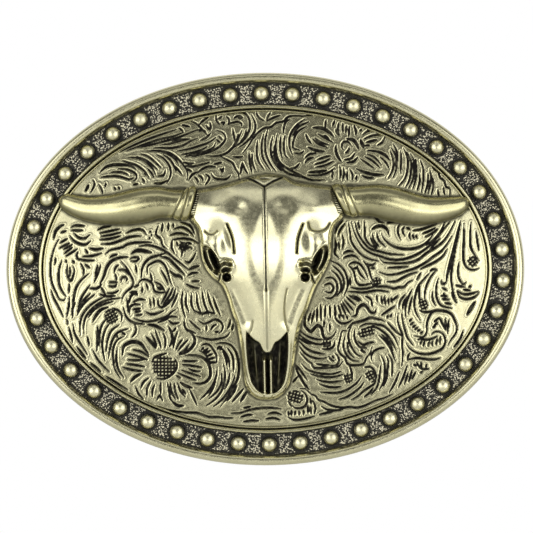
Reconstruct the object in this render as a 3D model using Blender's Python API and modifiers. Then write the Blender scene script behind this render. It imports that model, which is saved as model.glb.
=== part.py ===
"""Oval Western belt buckle with a longhorn steer skull, upright as worn.

Metres, +Z up. X is the width, Z the height and the face looks towards -Y. The origin is the centre of the back
plate's rear face, so a height above the back is a distance along -Y.
"""

import math

import bmesh
import bpy
import numpy as np
from mathutils import Matrix

MM = 0.001

# Outline and layers, in millimetres. An inset is the distance inwards from the outline.
HALF_WIDTH = 47.5
HALF_HEIGHT = 36.0
SEGMENTS = 72
GAP = 0.1
PLATE_THICKNESS = 1.5
PLATE_INSET = 0.35
PANEL_HALF_WIDTH = 9.0
PANEL_HALF_HEIGHT = 3.7
PANEL_GROOVE = 0.25
RIM_WIDTH = 1.75
RIM_CREST = 4.2
BAND_INSET = 1.85
BAND_END = 5.85
BAND_TOP = 2.1
BORDER_INSET = 5.95
BORDER_END = 7.25
BORDER_CREST = 3.9
FIELD_INSET = 7.35
FIELD_EDGE = 3.2
FIELD_CROWN = 1.6
FIELD_THICKNESS = 1.0
FIELD_RINGS = (1.0, 0.9, 0.7, 0.45, 0.18)

# Beads
BEAD_COUNT = 42
BEAD_INSET = 3.8
BEAD_RADIUS = 1.35
BEAD_HEIGHT = 1.75
BEAD_STEPS = 10
FIRST_BEAD = 3.6  # along the bead line from its +X end

# Skull pegs
PEG_RADIUS = 1.2
PEG_HOLE_RADIUS = 1.3
PEG_HEIGHTS = (("skull_peg_top", 10.0), ("skull_peg_bottom", -7.0))
PEG_TOP = 7.4
PEG_HEAD_RADIUS = 2.0
PEG_HEAD = 0.7

# Bail: the hinged wire loop that carries the strap
BAIL_AXIS_X = 20.0
BAIL_AXIS_Y = 2.7
BAIL_REACH = 16.0
BAIL_HALF_SPAN = 20.9
BAIL_WIRE_RADIUS = 1.4
BAIL_CORNER = 3.6
BAIL_INNER_CORNER = 1.6
BAIL_END = 13.2
LUG_INNER = 14.0
LUG_OUTER = 18.9
LUG_RADIUS = 2.9
LUG_BORE_RADIUS = 1.53
LUG_HALF_BASE = 3.7

# Hook
HOOK_X = -29.0
HOOK_RADIUS = 1.5
HOOK_FOOT_RADIUS = 4.0
HOOK_FOOT_THICKNESS = 1.0
HOOK_ROUTE = ((0, 1.2), (0, 4.2), (-0.4, 5.7), (-1.6, 6.9), (-3.4, 7.4), (-5.2, 7.55), (-7.0, 7.6))

BRASS = (0.46, 0.375, 0.18)
BRIGHT_BRASS = (0.56, 0.48, 0.26)
DARK_BRASS = (0.10, 0.085, 0.055)


def new_collection(name):
    collection = bpy.data.collections.new(name)
    bpy.context.scene.collection.children.link(collection)
    return collection


def material(name, colour, roughness):
    made = bpy.data.materials.new(name)
    made.use_nodes = True
    shader = made.node_tree.nodes["Principled BSDF"]
    shader.inputs["Base Color"].default_value = (*colour, 1)
    shader.inputs["Metallic"].default_value = 1
    shader.inputs["Roughness"].default_value = roughness
    return made


def add_object(name, mesh, colour=BRASS, roughness=0.3, smooth=True):
    """Puts a mesh in the parts' collection with a material of its own."""
    made = bpy.data.objects.new(name, mesh)
    PARTS.objects.link(made)
    mesh.materials.clear()
    mesh.materials.append(material(name, colour, roughness))
    if smooth:
        mesh.shade_smooth()
    return made


def to_mesh(bm, name):
    bmesh.ops.recalc_face_normals(bm, faces=bm.faces)
    bmesh.ops.scale(bm, vec=(MM, MM, MM), verts=bm.verts)
    mesh = bpy.data.meshes.new(name)
    bm.to_mesh(mesh)
    bm.free()
    return mesh


def cutter(name, mesh):
    made = bpy.data.objects.new(name, mesh)
    CUTTERS.objects.link(made)
    made.hide_render = True
    made.display_type = "WIRE"
    return made


def cut(target, tool):
    made = target.modifiers.new("cut_" + tool.name, "BOOLEAN")
    made.operation = "DIFFERENCE"
    made.solver = "EXACT"
    made.object = tool


def ellipse(bm, half_x, half_z, height):
    """A loop of vertices around the Y axis, at this height above the back."""
    place = Matrix.Translation((0, -height, 0)) @ Matrix.Rotation(math.pi / 2, 4, "X")
    place = place @ Matrix.Diagonal((half_x, half_z, 1, 1))
    return bmesh.ops.create_circle(bm, segments=SEGMENTS, radius=1, matrix=place)["verts"]


def inset_loop(bm, inset, height):
    return ellipse(bm, HALF_WIDTH - inset, HALF_HEIGHT - inset, height)


def join_loops(bm, loops):
    """Walls between each loop and the next, with the same number of vertices in each."""
    for one, other in zip(loops, loops[1:]):
        for i in range(len(one)):
            j = (i + 1) % len(one)
            bm.faces.new((one[i], one[j], other[j], other[i]))


def ring(name, profile, colour, roughness):
    """A closed profile of (inset, height) carried round the oval."""
    bm = bmesh.new()
    loops = [inset_loop(bm, *point) for point in profile]
    join_loops(bm, loops + loops[:1])
    return add_object(name, to_mesh(bm, name), colour, roughness)


def half_round(start, end, low, shoulder, crest, steps=5):
    """A D-shaped profile: flat below, upright to the shoulder and round above."""
    middle = (start + end) / 2
    half = (end - start) / 2
    points = [(end, low), (start, low)]
    for i in range(steps + 1):
        turn = math.pi * i / steps
        points.append((middle - half * math.cos(turn), shoulder + (crest - shoulder) * math.sin(turn)))
    return points


def field_height(share):
    """The field's height where an ellipse is this share of the field's own size."""
    return FIELD_EDGE + FIELD_CROWN * (1 - share * share)


def field_loop(bm, share, lift, narrower=0.0):
    half_x = (HALF_WIDTH - FIELD_INSET - narrower) * share
    half_z = (HALF_HEIGHT - FIELD_INSET - narrower) * share
    return ellipse(bm, half_x, half_z, field_height(share) + lift)


def disc(name, loops_of):
    """A closed body of loops whose first and last are capped."""
    bm = bmesh.new()
    loops = loops_of(bm)
    join_loops(bm, loops)
    bm.faces.new(loops[0])
    bm.faces.new(loops[-1])
    return to_mesh(bm, name)


def back_plate():
    """The plate, with a plain oval panel cut round by a groove in the middle of its rear face."""

    def loops(bm):
        groove = [ellipse(bm, PANEL_HALF_WIDTH + wider, PANEL_HALF_HEIGHT + wider, depth)
                  for wider, depth in ((0, 0), (PANEL_GROOVE, PANEL_GROOVE), (2 * PANEL_GROOVE, 0))]
        edge = [inset_loop(bm, *point) for point in ((PLATE_INSET + 0.2, 0), (PLATE_INSET, 0.2))]
        return groove + edge + [inset_loop(bm, PLATE_INSET, PLATE_THICKNESS)]

    return add_object("back_plate", disc("back_plate", loops), BRASS, 0.35, smooth=False)


def engraved_plate():
    low = PLATE_THICKNESS + GAP

    def loops(bm):
        front = [field_loop(bm, share, 0) for share in reversed(FIELD_RINGS)]
        skirt = [inset_loop(bm, FIELD_INSET, low), inset_loop(bm, FIELD_INSET + FIELD_THICKNESS, low)]
        under = [field_loop(bm, share, -FIELD_THICKNESS, FIELD_THICKNESS) for share in FIELD_RINGS]
        return front + skirt + under

    return add_object("engraved_plate", disc("engraved_plate", loops), BRASS, 0.34, smooth=False)


def seat_cutter():
    """The room that the field and the border take below the skull and the horns."""

    def loops(bm):
        front = [field_loop(bm, share, GAP) for share in reversed(FIELD_RINGS)]
        top = BORDER_CREST + GAP
        edge = [inset_loop(bm, BORDER_END, top), inset_loop(bm, BORDER_INSET - GAP, top)]
        return front + edge + [inset_loop(bm, BORDER_INSET - GAP, 0)]

    return cutter("seat_cutter", disc("seat_cutter", loops))


def turned(name, profile, steps):
    """A profile of (radius, height), from its top to its bottom, turned about Z by a Screw modifier."""
    mesh = bpy.data.meshes.new(name)
    points = [(radius * MM, 0, height * MM) for radius, height in profile]
    mesh.from_pydata(points, [(i, i + 1) for i in range(len(points) - 1)], [])
    made = add_object(name, mesh)
    screw = made.modifiers.new("turn", "SCREW")
    screw.steps = steps
    screw.render_steps = steps
    screw.use_merge_vertices = True
    screw.merge_threshold = 0.00001
    screw.use_smooth_shade = True
    return made


def bead_line():
    """Points spaced evenly along the oval that the beads stand on."""
    half_x = HALF_WIDTH - BEAD_INSET
    half_z = HALF_HEIGHT - BEAD_INSET
    turns = np.linspace(0, 2 * math.pi, 4001)
    xs = half_x * np.cos(turns)
    zs = half_z * np.sin(turns)
    along = np.concatenate([[0], np.cumsum(np.hypot(np.diff(xs), np.diff(zs)))])
    wanted = FIRST_BEAD + along[-1] * np.arange(BEAD_COUNT) / BEAD_COUNT
    return [(np.interp(s, along, xs), np.interp(s, along, zs)) for s in wanted % along[-1]]


def beads():
    seat = BAND_TOP + GAP
    round_part = [(1, 0.0), (0.88, 0.47), (0.5, 0.86)]
    low = BEAD_HEIGHT - BEAD_RADIUS
    profile = [(0, BEAD_HEIGHT)]
    profile += [(BEAD_RADIUS * r, low + BEAD_RADIUS * h) for r, h in reversed(round_part)]
    profile += [(BEAD_RADIUS, 0), (0, 0)]
    for number, (x, z) in enumerate(bead_line(), 1):
        bead = turned(f"bead_{number:02d}", profile, BEAD_STEPS)
        bead.location = (x * MM, -seat * MM, z * MM)
        bead.rotation_euler = (math.pi / 2, 0, 0)


# The skull's outline, in millimetres, as four sides that a grid is stretched between
SKULL_TOP = ((-12.3, 14.5), (-8.6, 15.2), (-4.9, 16.2), (-3.3, 16.7), (0.2, 17.4), (3.8, 16.9), (5.2, 16.1),
             (9.0, 15.5), (11.9, 15.1))
SKULL_LEFT = ((-12.3, 14.5), (-13.0, 12.0), (-13.6, 9.86), (-13.7, 9.5), (-13.3, 8.5), (-12.5, 7.4),
              (-12.05, 6.0), (-11.9, 4.0), (-11.6, 2.0), (-10.9, 0.1), (-9.7, -1.5), (-8.0, -2.9),
              (-6.9, -5.2), (-6.2, -7.6), (-5.4, -9.9), (-4.85, -12.3), (-4.45, -15.2), (-4.05, -18.8),
              (-3.65, -21.3), (-2.9, -22.8))
SKULL_RIGHT = ((11.9, 15.1), (13.1, 12.5), (14.13, 10.26), (14.3, 9.9), (13.8, 9.0), (12.8, 8.0),
               (12.2, 6.4), (12.15, 4.0), (11.9, 2.0), (11.2, 0.2), (10.2, -1.6), (9.2, -3.3),
               (8.45, -5.2), (7.6, -7.6), (6.6, -9.9), (6.1, -12.1), (5.6, -15.0), (5.0, -18.8),
               (4.35, -21.3), (3.4, -22.8))
SKULL_FOOT = ((-2.9, -22.8), (-1.6, -23.7), (0.3, -24.0), (2.1, -23.7), (3.4, -22.8))
SKULL_COLUMNS = 24
SKULL_ROWS = 32
SKULL_ROUNDING = 2.2
RELIEF_BASE = 2.6

# Heights of the skull's middle line above the field, by Z
SKULL_SPINE = ((-24.0, 3.0), (-20.0, 3.9), (-15.0, 5.0), (-10.0, 5.8), (-4.0, 6.4), (2.0, 6.9), (7.0, 6.9),
               (11.0, 6.3), (14.0, 5.0), (17.4, 2.8))

# Hollows and swellings of the skull: |x|, z, radius x, radius z, tilt in degrees, height
SKULL_FORMS = (
    (4.1, 10.4, 1.9, 1.9, 0, -0.6),
    (9.8, 10.6, 2.4, 3.0, 0, 0.5),
    (8.3, 4.6, 1.4, 2.6, 10, -1.3),
    (3.3, 1.8, 0.8, 2.4, -25, -0.7),
    (0.0, 3.5, 1.9, 5.5, 0, 0.35),
)

# Openings cut in both sides of the skull: name, |x|, z, radius x, radius z, tilt in degrees, height of the middle
SKULL_OPENINGS = (
    ("orbit", 9.9, 1.5, 1.15, 2.7, 27, 8.8),
    ("tear_pit", 7.1, -1.6, 0.8, 0.8, 0, 9.6),
    ("nostril", 1.9, -17.9, 1.15, 3.9, 6, 8.5),
    ("nose_notch", 3.15, -13.4, 0.75, 2.2, 8, 8.6),
)
OPENING_MIDDLE = ((-24.0, 0.4), (0.0, 0.15), (15.0, 0.0))
OPENING_DEPTH = 3.4

# Horns, from root to tip: x, z, half width, top above the back, and how far the section's top leans to the skull
HORN_LEFT = ((-13.25, 12.0, 3.15, 9.5, 15.6), (-14.3, 12.0, 3.35, 9.6, 18), (-15.6, 11.7, 3.0, 9.2, 25),
             (-17.0, 11.5, 2.95, 9.1, 22), (-19.5, 11.8, 3.2, 9.2, 10), (-22.4, 11.9, 3.25, 9.1, 0),
             (-25.4, 11.6, 3.1, 8.9, 0), (-29.0, 11.1, 2.85, 8.4, 0), (-32.4, 11.1, 2.45, 7.7, 0),
             (-35.0, 11.6, 1.8, 6.8, 0), (-36.6, 12.1, 1.15, 5.9, 0), (-37.5, 12.5, 0.45, 4.9, 0))
HORN_RIGHT = ((13.3, 12.6, 3.15, 9.5, 24.8), (14.4, 12.6, 3.35, 9.6, 26), (15.7, 12.4, 3.0, 9.2, 25),
              (17.1, 12.5, 2.95, 9.1, 20), (19.6, 12.6, 3.1, 9.2, 8), (22.6, 12.3, 3.1, 9.1, 0),
              (25.6, 11.6, 3.0, 8.9, 0), (29.0, 11.0, 2.75, 8.4, 0), (32.2, 10.9, 2.35, 7.7, 0),
              (34.7, 11.5, 1.75, 6.8, 0), (36.3, 12.2, 1.1, 5.9, 0), (37.2, 12.8, 0.45, 4.9, 0))
HORN_SECTIONS = 22
HORN_SIDES = 10
HORN_SKIRT = 0.28  # share of the height that stands upright below the round part


def smooth_line(points, shares):
    """A smooth curve through points, read at shares of its length."""
    points = np.array(points, float)
    steps = np.linalg.norm(np.diff(points[:, :2], axis=0), axis=1)
    knots = np.concatenate([[0], np.cumsum(steps)]) / steps.sum()
    slopes = np.gradient(points, knots, axis=0)
    place = np.clip(np.searchsorted(knots, shares, side="right") - 1, 0, len(knots) - 2)
    width = (knots[place + 1] - knots[place])[:, None]
    t = (shares[:, None] - knots[place][:, None]) / width
    start = (2 * t**3 - 3 * t**2 + 1) * points[place] + (t**3 - 2 * t**2 + t) * width * slopes[place]
    end = (3 * t**2 - 2 * t**3) * points[place + 1] + (t**3 - t**2) * width * slopes[place + 1]
    return start + end


def eased(count):
    """Shares from 0 to 1 that crowd towards both ends."""
    even = np.linspace(0, 1, count)
    return 0.35 * even + 0.65 * (1 - np.cos(math.pi * even)) / 2


def distance_to(points, line):
    """How far each point is from a broken line."""
    best = np.full(points.shape[:-1], 1e9)
    for start, end in zip(line, line[1:]):
        run = end - start
        t = np.clip(((points - start) @ run) / (run @ run), 0, 1)
        best = np.minimum(best, np.linalg.norm(points - start - t[..., None] * run, axis=-1))
    return best


def skull_grid():
    """Points (x, height, z) of the skull's front."""
    across = eased(SKULL_COLUMNS + 1)
    down = eased(SKULL_ROWS + 1)
    top = smooth_line(SKULL_TOP, across)
    foot = smooth_line(SKULL_FOOT, across)
    left = smooth_line(SKULL_LEFT, down)
    right = smooth_line(SKULL_RIGHT, down)
    u = across[None, :, None]
    v = down[:, None, None]
    sides = (1 - u) * left[:, None] + u * right[:, None]
    ends = (1 - v) * top[None] + v * foot[None]
    corners = (1 - v) * ((1 - u) * top[0] + u * top[-1]) + v * ((1 - u) * foot[0] + u * foot[-1])
    flat = sides + ends - corners
    free = [top, foot, left[left[:, 1] <= SKULL_LEFT[3][1]], right[right[:, 1] <= SKULL_RIGHT[3][1]]]
    room = np.min([distance_to(flat, line) for line in free], axis=0)
    x, z = flat[..., 0], flat[..., 1]
    spine_z, spine_h = zip(*SKULL_SPINE)
    share = np.abs(x / np.interp(z, (-24, -10, 0, 8), (6.0, 7.0, 12.0, 13.5)))
    height = np.interp(z, spine_z, spine_h) - 1.9 * share**2.2
    for form_x, form_z, radius_x, radius_z, tilt, rise in SKULL_FORMS:
        turn = math.radians(tilt)
        dx, dz = np.abs(x) - form_x, z - form_z
        one = (dx * math.cos(turn) + dz * math.sin(turn)) / radius_x
        other = (dz * math.cos(turn) - dx * math.sin(turn)) / radius_z
        height = height + rise * np.exp(-(one**2) - other**2)
    t = np.clip(room / SKULL_ROUNDING, 0, 1)
    ground = field_height(np.hypot(x / (HALF_WIDTH - FIELD_INSET), z / (HALF_HEIGHT - FIELD_INSET)))
    return np.stack([x, ground + 0.35 + height * np.sqrt(t * (2 - t)), z], axis=-1)


def horn_grid(line):
    """Points (x, height, z) of a horn's front, section by section."""
    sections = smooth_line(line, np.linspace(0, 1, HORN_SECTIONS + 1) ** 0.9)
    run = np.gradient(sections[:, :2], axis=0)
    run /= np.linalg.norm(run, axis=1)[:, None]
    turns = np.linspace(-math.pi / 2, math.pi / 2, HORN_SIDES + 1)
    rows = []
    for (x, z, half, top, lean), (run_x, run_z) in zip(sections, run):
        side = math.copysign(1, run_x)
        lean = math.radians(lean)
        up_x = -side * run_z * math.cos(lean) - run_x * math.sin(lean)
        up_z = side * run_x * math.cos(lean) - run_z * math.sin(lean)
        share = min(1.0, math.hypot(x / (HALF_WIDTH - FIELD_INSET), z / (HALF_HEIGHT - FIELD_INSET)))
        low = max(field_height(share), BORDER_CREST if abs(x) > 32 else 0) + 0.15
        shoulder = low + HORN_SKIRT * (top - low)
        height = shoulder + (top - shoulder) * np.cos(turns)
        offset = half * np.sin(turns)
        rows.append(np.stack([x + offset * up_x, height, z + offset * up_z], axis=-1))
    return np.array(rows)


def relief(name, grid, colour, roughness):
    """A casting: its front is a grid of points, its sides drop straight down and its back is cut to the field."""
    rows, columns, _ = grid.shape
    bm = bmesh.new()
    front = [[bm.verts.new((x, -h, z)) for x, h, z in row] for row in grid]
    for i in range(rows - 1):
        for j in range(columns - 1):
            bm.faces.new((front[i][j], front[i][j + 1], front[i + 1][j + 1], front[i + 1][j]))
    border = front[0][:-1] + [row[-1] for row in front[:-1]] + front[-1][:0:-1] + [row[0] for row in front[:0:-1]]
    below = [bm.verts.new((v.co.x, -RELIEF_BASE, v.co.z)) for v in border]
    join_loops(bm, [border, below])
    bm.faces.new(below)
    made = add_object(name, to_mesh(bm, name), colour, roughness)
    cut(made, SEAT)
    return made


def skull_openings(skull):
    """The eye sockets, the pits below them and the nose, cut as ellipsoids."""
    for name, x, z, radius_x, radius_z, tilt, height in SKULL_OPENINGS:
        middle = np.interp(z, *zip(*OPENING_MIDDLE))
        for side, word in ((-1, "left"), (1, "right")):
            place = Matrix.Translation((middle + side * x, -height, z))
            place = place @ Matrix.Rotation(math.radians(side * tilt), 4, "Y")
            place = place @ Matrix.Diagonal((radius_x, OPENING_DEPTH, radius_z, 1))
            bm = bmesh.new()
            bmesh.ops.create_uvsphere(bm, u_segments=12, v_segments=8, radius=1, matrix=place)
            title = f"{name}_{word}"
            cut(skull, cutter(title, to_mesh(bm, title)))


def peg_cutter(name, radius, z, low, high):
    bm = bmesh.new()
    middle = Matrix.Translation((0, -(low + high) / 2, z)) @ Matrix.Rotation(math.pi / 2, 4, "X")
    bmesh.ops.create_cone(bm, cap_ends=True, segments=24, radius1=radius, radius2=radius, depth=high - low,
                          matrix=middle)
    return cutter(name, to_mesh(bm, name))


def skull_pegs(plates, skull):
    for name, z in PEG_HEIGHTS:
        through = peg_cutter(name + "_through", PEG_HOLE_RADIUS, z, -1, PEG_TOP + GAP)
        for target in plates + [skull]:
            cut(target, through)
        r, head = PEG_RADIUS, PEG_HEAD_RADIUS
        profile = [(0, PEG_TOP), (r - 0.2, PEG_TOP), (r, PEG_TOP - 0.2), (r, -GAP), (head, -GAP)]
        profile += [(head * 0.85, -PEG_HEAD * 0.7), (head * 0.45, -PEG_HEAD), (0, -PEG_HEAD)]
        peg = turned(name, profile, 16)
        peg.location = (0, 0, z * MM)
        peg.rotation_euler = (math.pi / 2, 0, 0)


def poly_spline(curve, points, cyclic=False):
    spline = curve.splines.new("POLY")
    spline.points.add(len(points) - 1)
    for target, (x, y, z) in zip(spline.points, points):
        target.co = (x * MM, y * MM, z * MM, 1)
    spline.use_cyclic_u = cyclic
    return spline


def wire(name, route, radius, scales=None):
    """A round wire along a route, as a mesh with welded caps."""
    curve = bpy.data.curves.new(name + "_route", "CURVE")
    curve.dimensions = "3D"
    curve.bevel_depth = radius * MM
    curve.bevel_resolution = 4
    curve.use_fill_caps = True
    spline = poly_spline(curve, route)
    for target, scale in zip(spline.points, scales or []):
        target.radius = scale
    return curve_mesh(name, curve)


def curve_mesh(name, curve):
    drawn = bpy.data.objects.new(name + "_route", curve)
    bpy.context.scene.collection.objects.link(drawn)
    graph = bpy.context.evaluated_depsgraph_get()
    mesh = bpy.data.meshes.new_from_object(drawn.evaluated_get(graph))
    bpy.data.objects.remove(drawn)
    bm = bmesh.new()
    bm.from_mesh(mesh)
    bmesh.ops.remove_doubles(bm, verts=bm.verts, dist=0.000001)
    bmesh.ops.recalc_face_normals(bm, faces=bm.faces)
    bm.to_mesh(mesh)
    bm.free()
    mesh.name = name
    return mesh


def bail_route():
    """The bail's centre line about its hinge: in along the upper end, round the loop and back."""
    corners = ((0, BAIL_HALF_SPAN), (BAIL_REACH, BAIL_HALF_SPAN), (BAIL_REACH, -BAIL_HALF_SPAN),
               (0, -BAIL_HALF_SPAN))
    starts = (math.pi, math.pi / 2, 0, -math.pi / 2)
    route = [(0, 0, BAIL_END)]
    for (x, z), start in zip(corners, starts):
        bend = BAIL_CORNER if x else BAIL_INNER_CORNER
        inner_x = x - math.copysign(bend, x - 1)
        inner_z = z - math.copysign(bend, z)
        for i in range(6):
            turn = start - math.pi / 2 * i / 5
            route.append((inner_x + bend * math.cos(turn), 0, inner_z + bend * math.sin(turn)))
    return route + [(0, 0, -BAIL_END)]


def bail():
    hinge = bpy.data.objects.new("bail_hinge", None)
    PARTS.objects.link(hinge)
    hinge.location = (BAIL_AXIS_X * MM, BAIL_AXIS_Y * MM, 0)
    made = add_object("bail_wire", wire("bail_wire", bail_route(), BAIL_WIRE_RADIUS), BRASS, 0.32)
    made.parent = hinge


def bail_lugs():
    for name, low in (("bail_lug_top", LUG_INNER), ("bail_lug_bottom", -LUG_OUTER)):
        curve = bpy.data.curves.new(name + "_outline", "CURVE")
        curve.dimensions = "2D"
        curve.fill_mode = "BOTH"
        curve.extrude = (LUG_OUTER - LUG_INNER) / 2 * MM
        outline = [(-LUG_HALF_BASE, GAP - BAIL_AXIS_Y, 0), (LUG_HALF_BASE, GAP - BAIL_AXIS_Y, 0)]
        outline.append((LUG_HALF_BASE, 0.9 - BAIL_AXIS_Y, 0))
        for i in range(11):
            turn = math.radians(-5 + 19 * i)
            outline.append((LUG_RADIUS * math.cos(turn), LUG_RADIUS * math.sin(turn), 0))
        outline.append((-LUG_HALF_BASE, 0.9 - BAIL_AXIS_Y, 0))
        poly_spline(curve, outline, cyclic=True)
        turns = [2 * math.pi * i / 24 for i in range(24)]
        bore = [(LUG_BORE_RADIUS * math.cos(t), LUG_BORE_RADIUS * math.sin(t), 0) for t in turns]
        poly_spline(curve, bore, cyclic=True)
        lug = add_object(name, curve_mesh(name, curve), BRASS, 0.35, smooth=False)
        lug.location = (BAIL_AXIS_X * MM, BAIL_AXIS_Y * MM, (low + (LUG_OUTER - LUG_INNER) / 2) * MM)


def hook():
    r = HOOK_FOOT_RADIUS
    top = HOOK_FOOT_THICKNESS
    profile = [(0, top), (r - 0.4, top), (r, top - 0.4), (r, 0), (0, 0)]
    foot = turned("hook_foot", profile, 28)
    foot.location = (HOOK_X * MM, GAP * MM, 0)
    foot.rotation_euler = (-math.pi / 2, 0, 0)
    route = [(HOOK_X + x, y, 0) for x, y in HOOK_ROUTE] + [(HOOK_X - 7.7, 7.6, 0), (HOOK_X - 8.1, 7.6, 0)]
    scales = (1.0, 1.0, 1.0, 1.0, 1.0, 0.98, 0.92, 0.7, 0.3)
    add_object("hook_prong", wire("hook_prong", route, HOOK_RADIUS, scales), BRASS, 0.3)


for old in list(bpy.data.objects):
    bpy.data.objects.remove(old)
PARTS = new_collection("belt_buckle")
CUTTERS = new_collection("cutters")
SEAT = seat_cutter()

plates = [back_plate(), engraved_plate()]
seat_low = PLATE_THICKNESS + GAP
ring("outer_rim", half_round(0, RIM_WIDTH, seat_low, 3.1, RIM_CREST), BRIGHT_BRASS, 0.3)
band = [(BAND_END, seat_low), (BAND_INSET, seat_low), (BAND_INSET, BAND_TOP), (BAND_END, BAND_TOP)]
ring("channel_band", band, DARK_BRASS, 0.6)
border = [(BORDER_END, seat_low), (BORDER_INSET, seat_low), (BORDER_INSET, 3.5), (6.1, BORDER_CREST)]
border += [(6.5, BORDER_CREST), (6.68, 3.4), (6.8, 3.7), (7.05, 3.7), (BORDER_END, 3.3)]
ring("border_ring", border, BRIGHT_BRASS, 0.3)
beads()
skull = relief("skull", skull_grid(), BRIGHT_BRASS, 0.25)
skull_openings(skull)
skull_pegs(plates, skull)
relief("horn_left", horn_grid(HORN_LEFT), BRASS, 0.25)
relief("horn_right", horn_grid(HORN_RIGHT), BRASS, 0.25)
bail_lugs()
bail()
hook()
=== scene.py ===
"""The longhorn belt buckle: engraved field, skull, horns, beaded band and the hardware on its back."""

import math

import bpy
import numpy as np
from mathutils import Matrix, Vector


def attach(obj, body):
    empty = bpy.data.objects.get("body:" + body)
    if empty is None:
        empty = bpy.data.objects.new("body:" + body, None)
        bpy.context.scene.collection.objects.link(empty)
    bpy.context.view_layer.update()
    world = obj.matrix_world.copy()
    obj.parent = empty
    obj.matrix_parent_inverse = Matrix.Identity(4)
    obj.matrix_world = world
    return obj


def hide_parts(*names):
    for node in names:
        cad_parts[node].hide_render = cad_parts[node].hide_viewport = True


MM = 0.001
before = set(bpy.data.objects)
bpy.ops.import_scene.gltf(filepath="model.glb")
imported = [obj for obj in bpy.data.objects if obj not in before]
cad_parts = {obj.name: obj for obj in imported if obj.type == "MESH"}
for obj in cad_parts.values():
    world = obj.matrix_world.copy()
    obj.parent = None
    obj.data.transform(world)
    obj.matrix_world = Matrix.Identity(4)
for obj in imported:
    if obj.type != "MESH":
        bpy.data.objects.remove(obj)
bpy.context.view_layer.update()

# Outline and layers in millimetres, as in the CAD; heights are measured forwards from the rear face
HALF_X, HALF_Z = 47.5, 36.0
BAND_TOP = 2.1
FIELD_X, FIELD_Z = 40.15, 28.65
FIELD_EDGE, FIELD_CROWN = 3.2, 1.6
BEAD_COUNT, BEAD_INSET, FIRST_BEAD = 42, 3.8, 3.6
PANEL_X, PANEL_Z = 9.0, 3.7
PEGS = (("top", 10.0), ("bottom", -7.0))

# The bail, its lugs and the hook in millimetres, as in the CAD; y is measured backwards from the rear face
BAIL_AXIS_X, BAIL_AXIS_Y = 20.0, 2.7
BAIL_HALF_SPAN, BAIL_REACH, BAIL_END = 20.9, 16.0, 13.2
BAIL_CORNER, BAIL_INNER_CORNER, BAIL_WIRE_RADIUS = 3.6, 1.6, 1.4
LUG_MIDDLE, LUG_HALF_LENGTH, LUG_HALF_BASE = 16.45, 2.45, 3.7
LUG_RADIUS, LUG_BORE_RADIUS, LUG_ROUNDING = 2.9, 1.53, 0.25
HOOK_X, HOOK_RADIUS = -29.0, 1.5
# x from the hook's foot, and y
HOOK_ROUTE = ((0, 0.9), (0, 2.6), (0, 4.2), (-0.4, 5.7), (-1.6, 6.9), (-3.4, 7.4), (-5.2, 7.55),
              (-7.0, 7.6), (-8.1, 7.6))

STROKE_WIDTH, CUT_DEPTH, LIP_HEIGHT = 0.54, 0.16, 0.02

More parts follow.
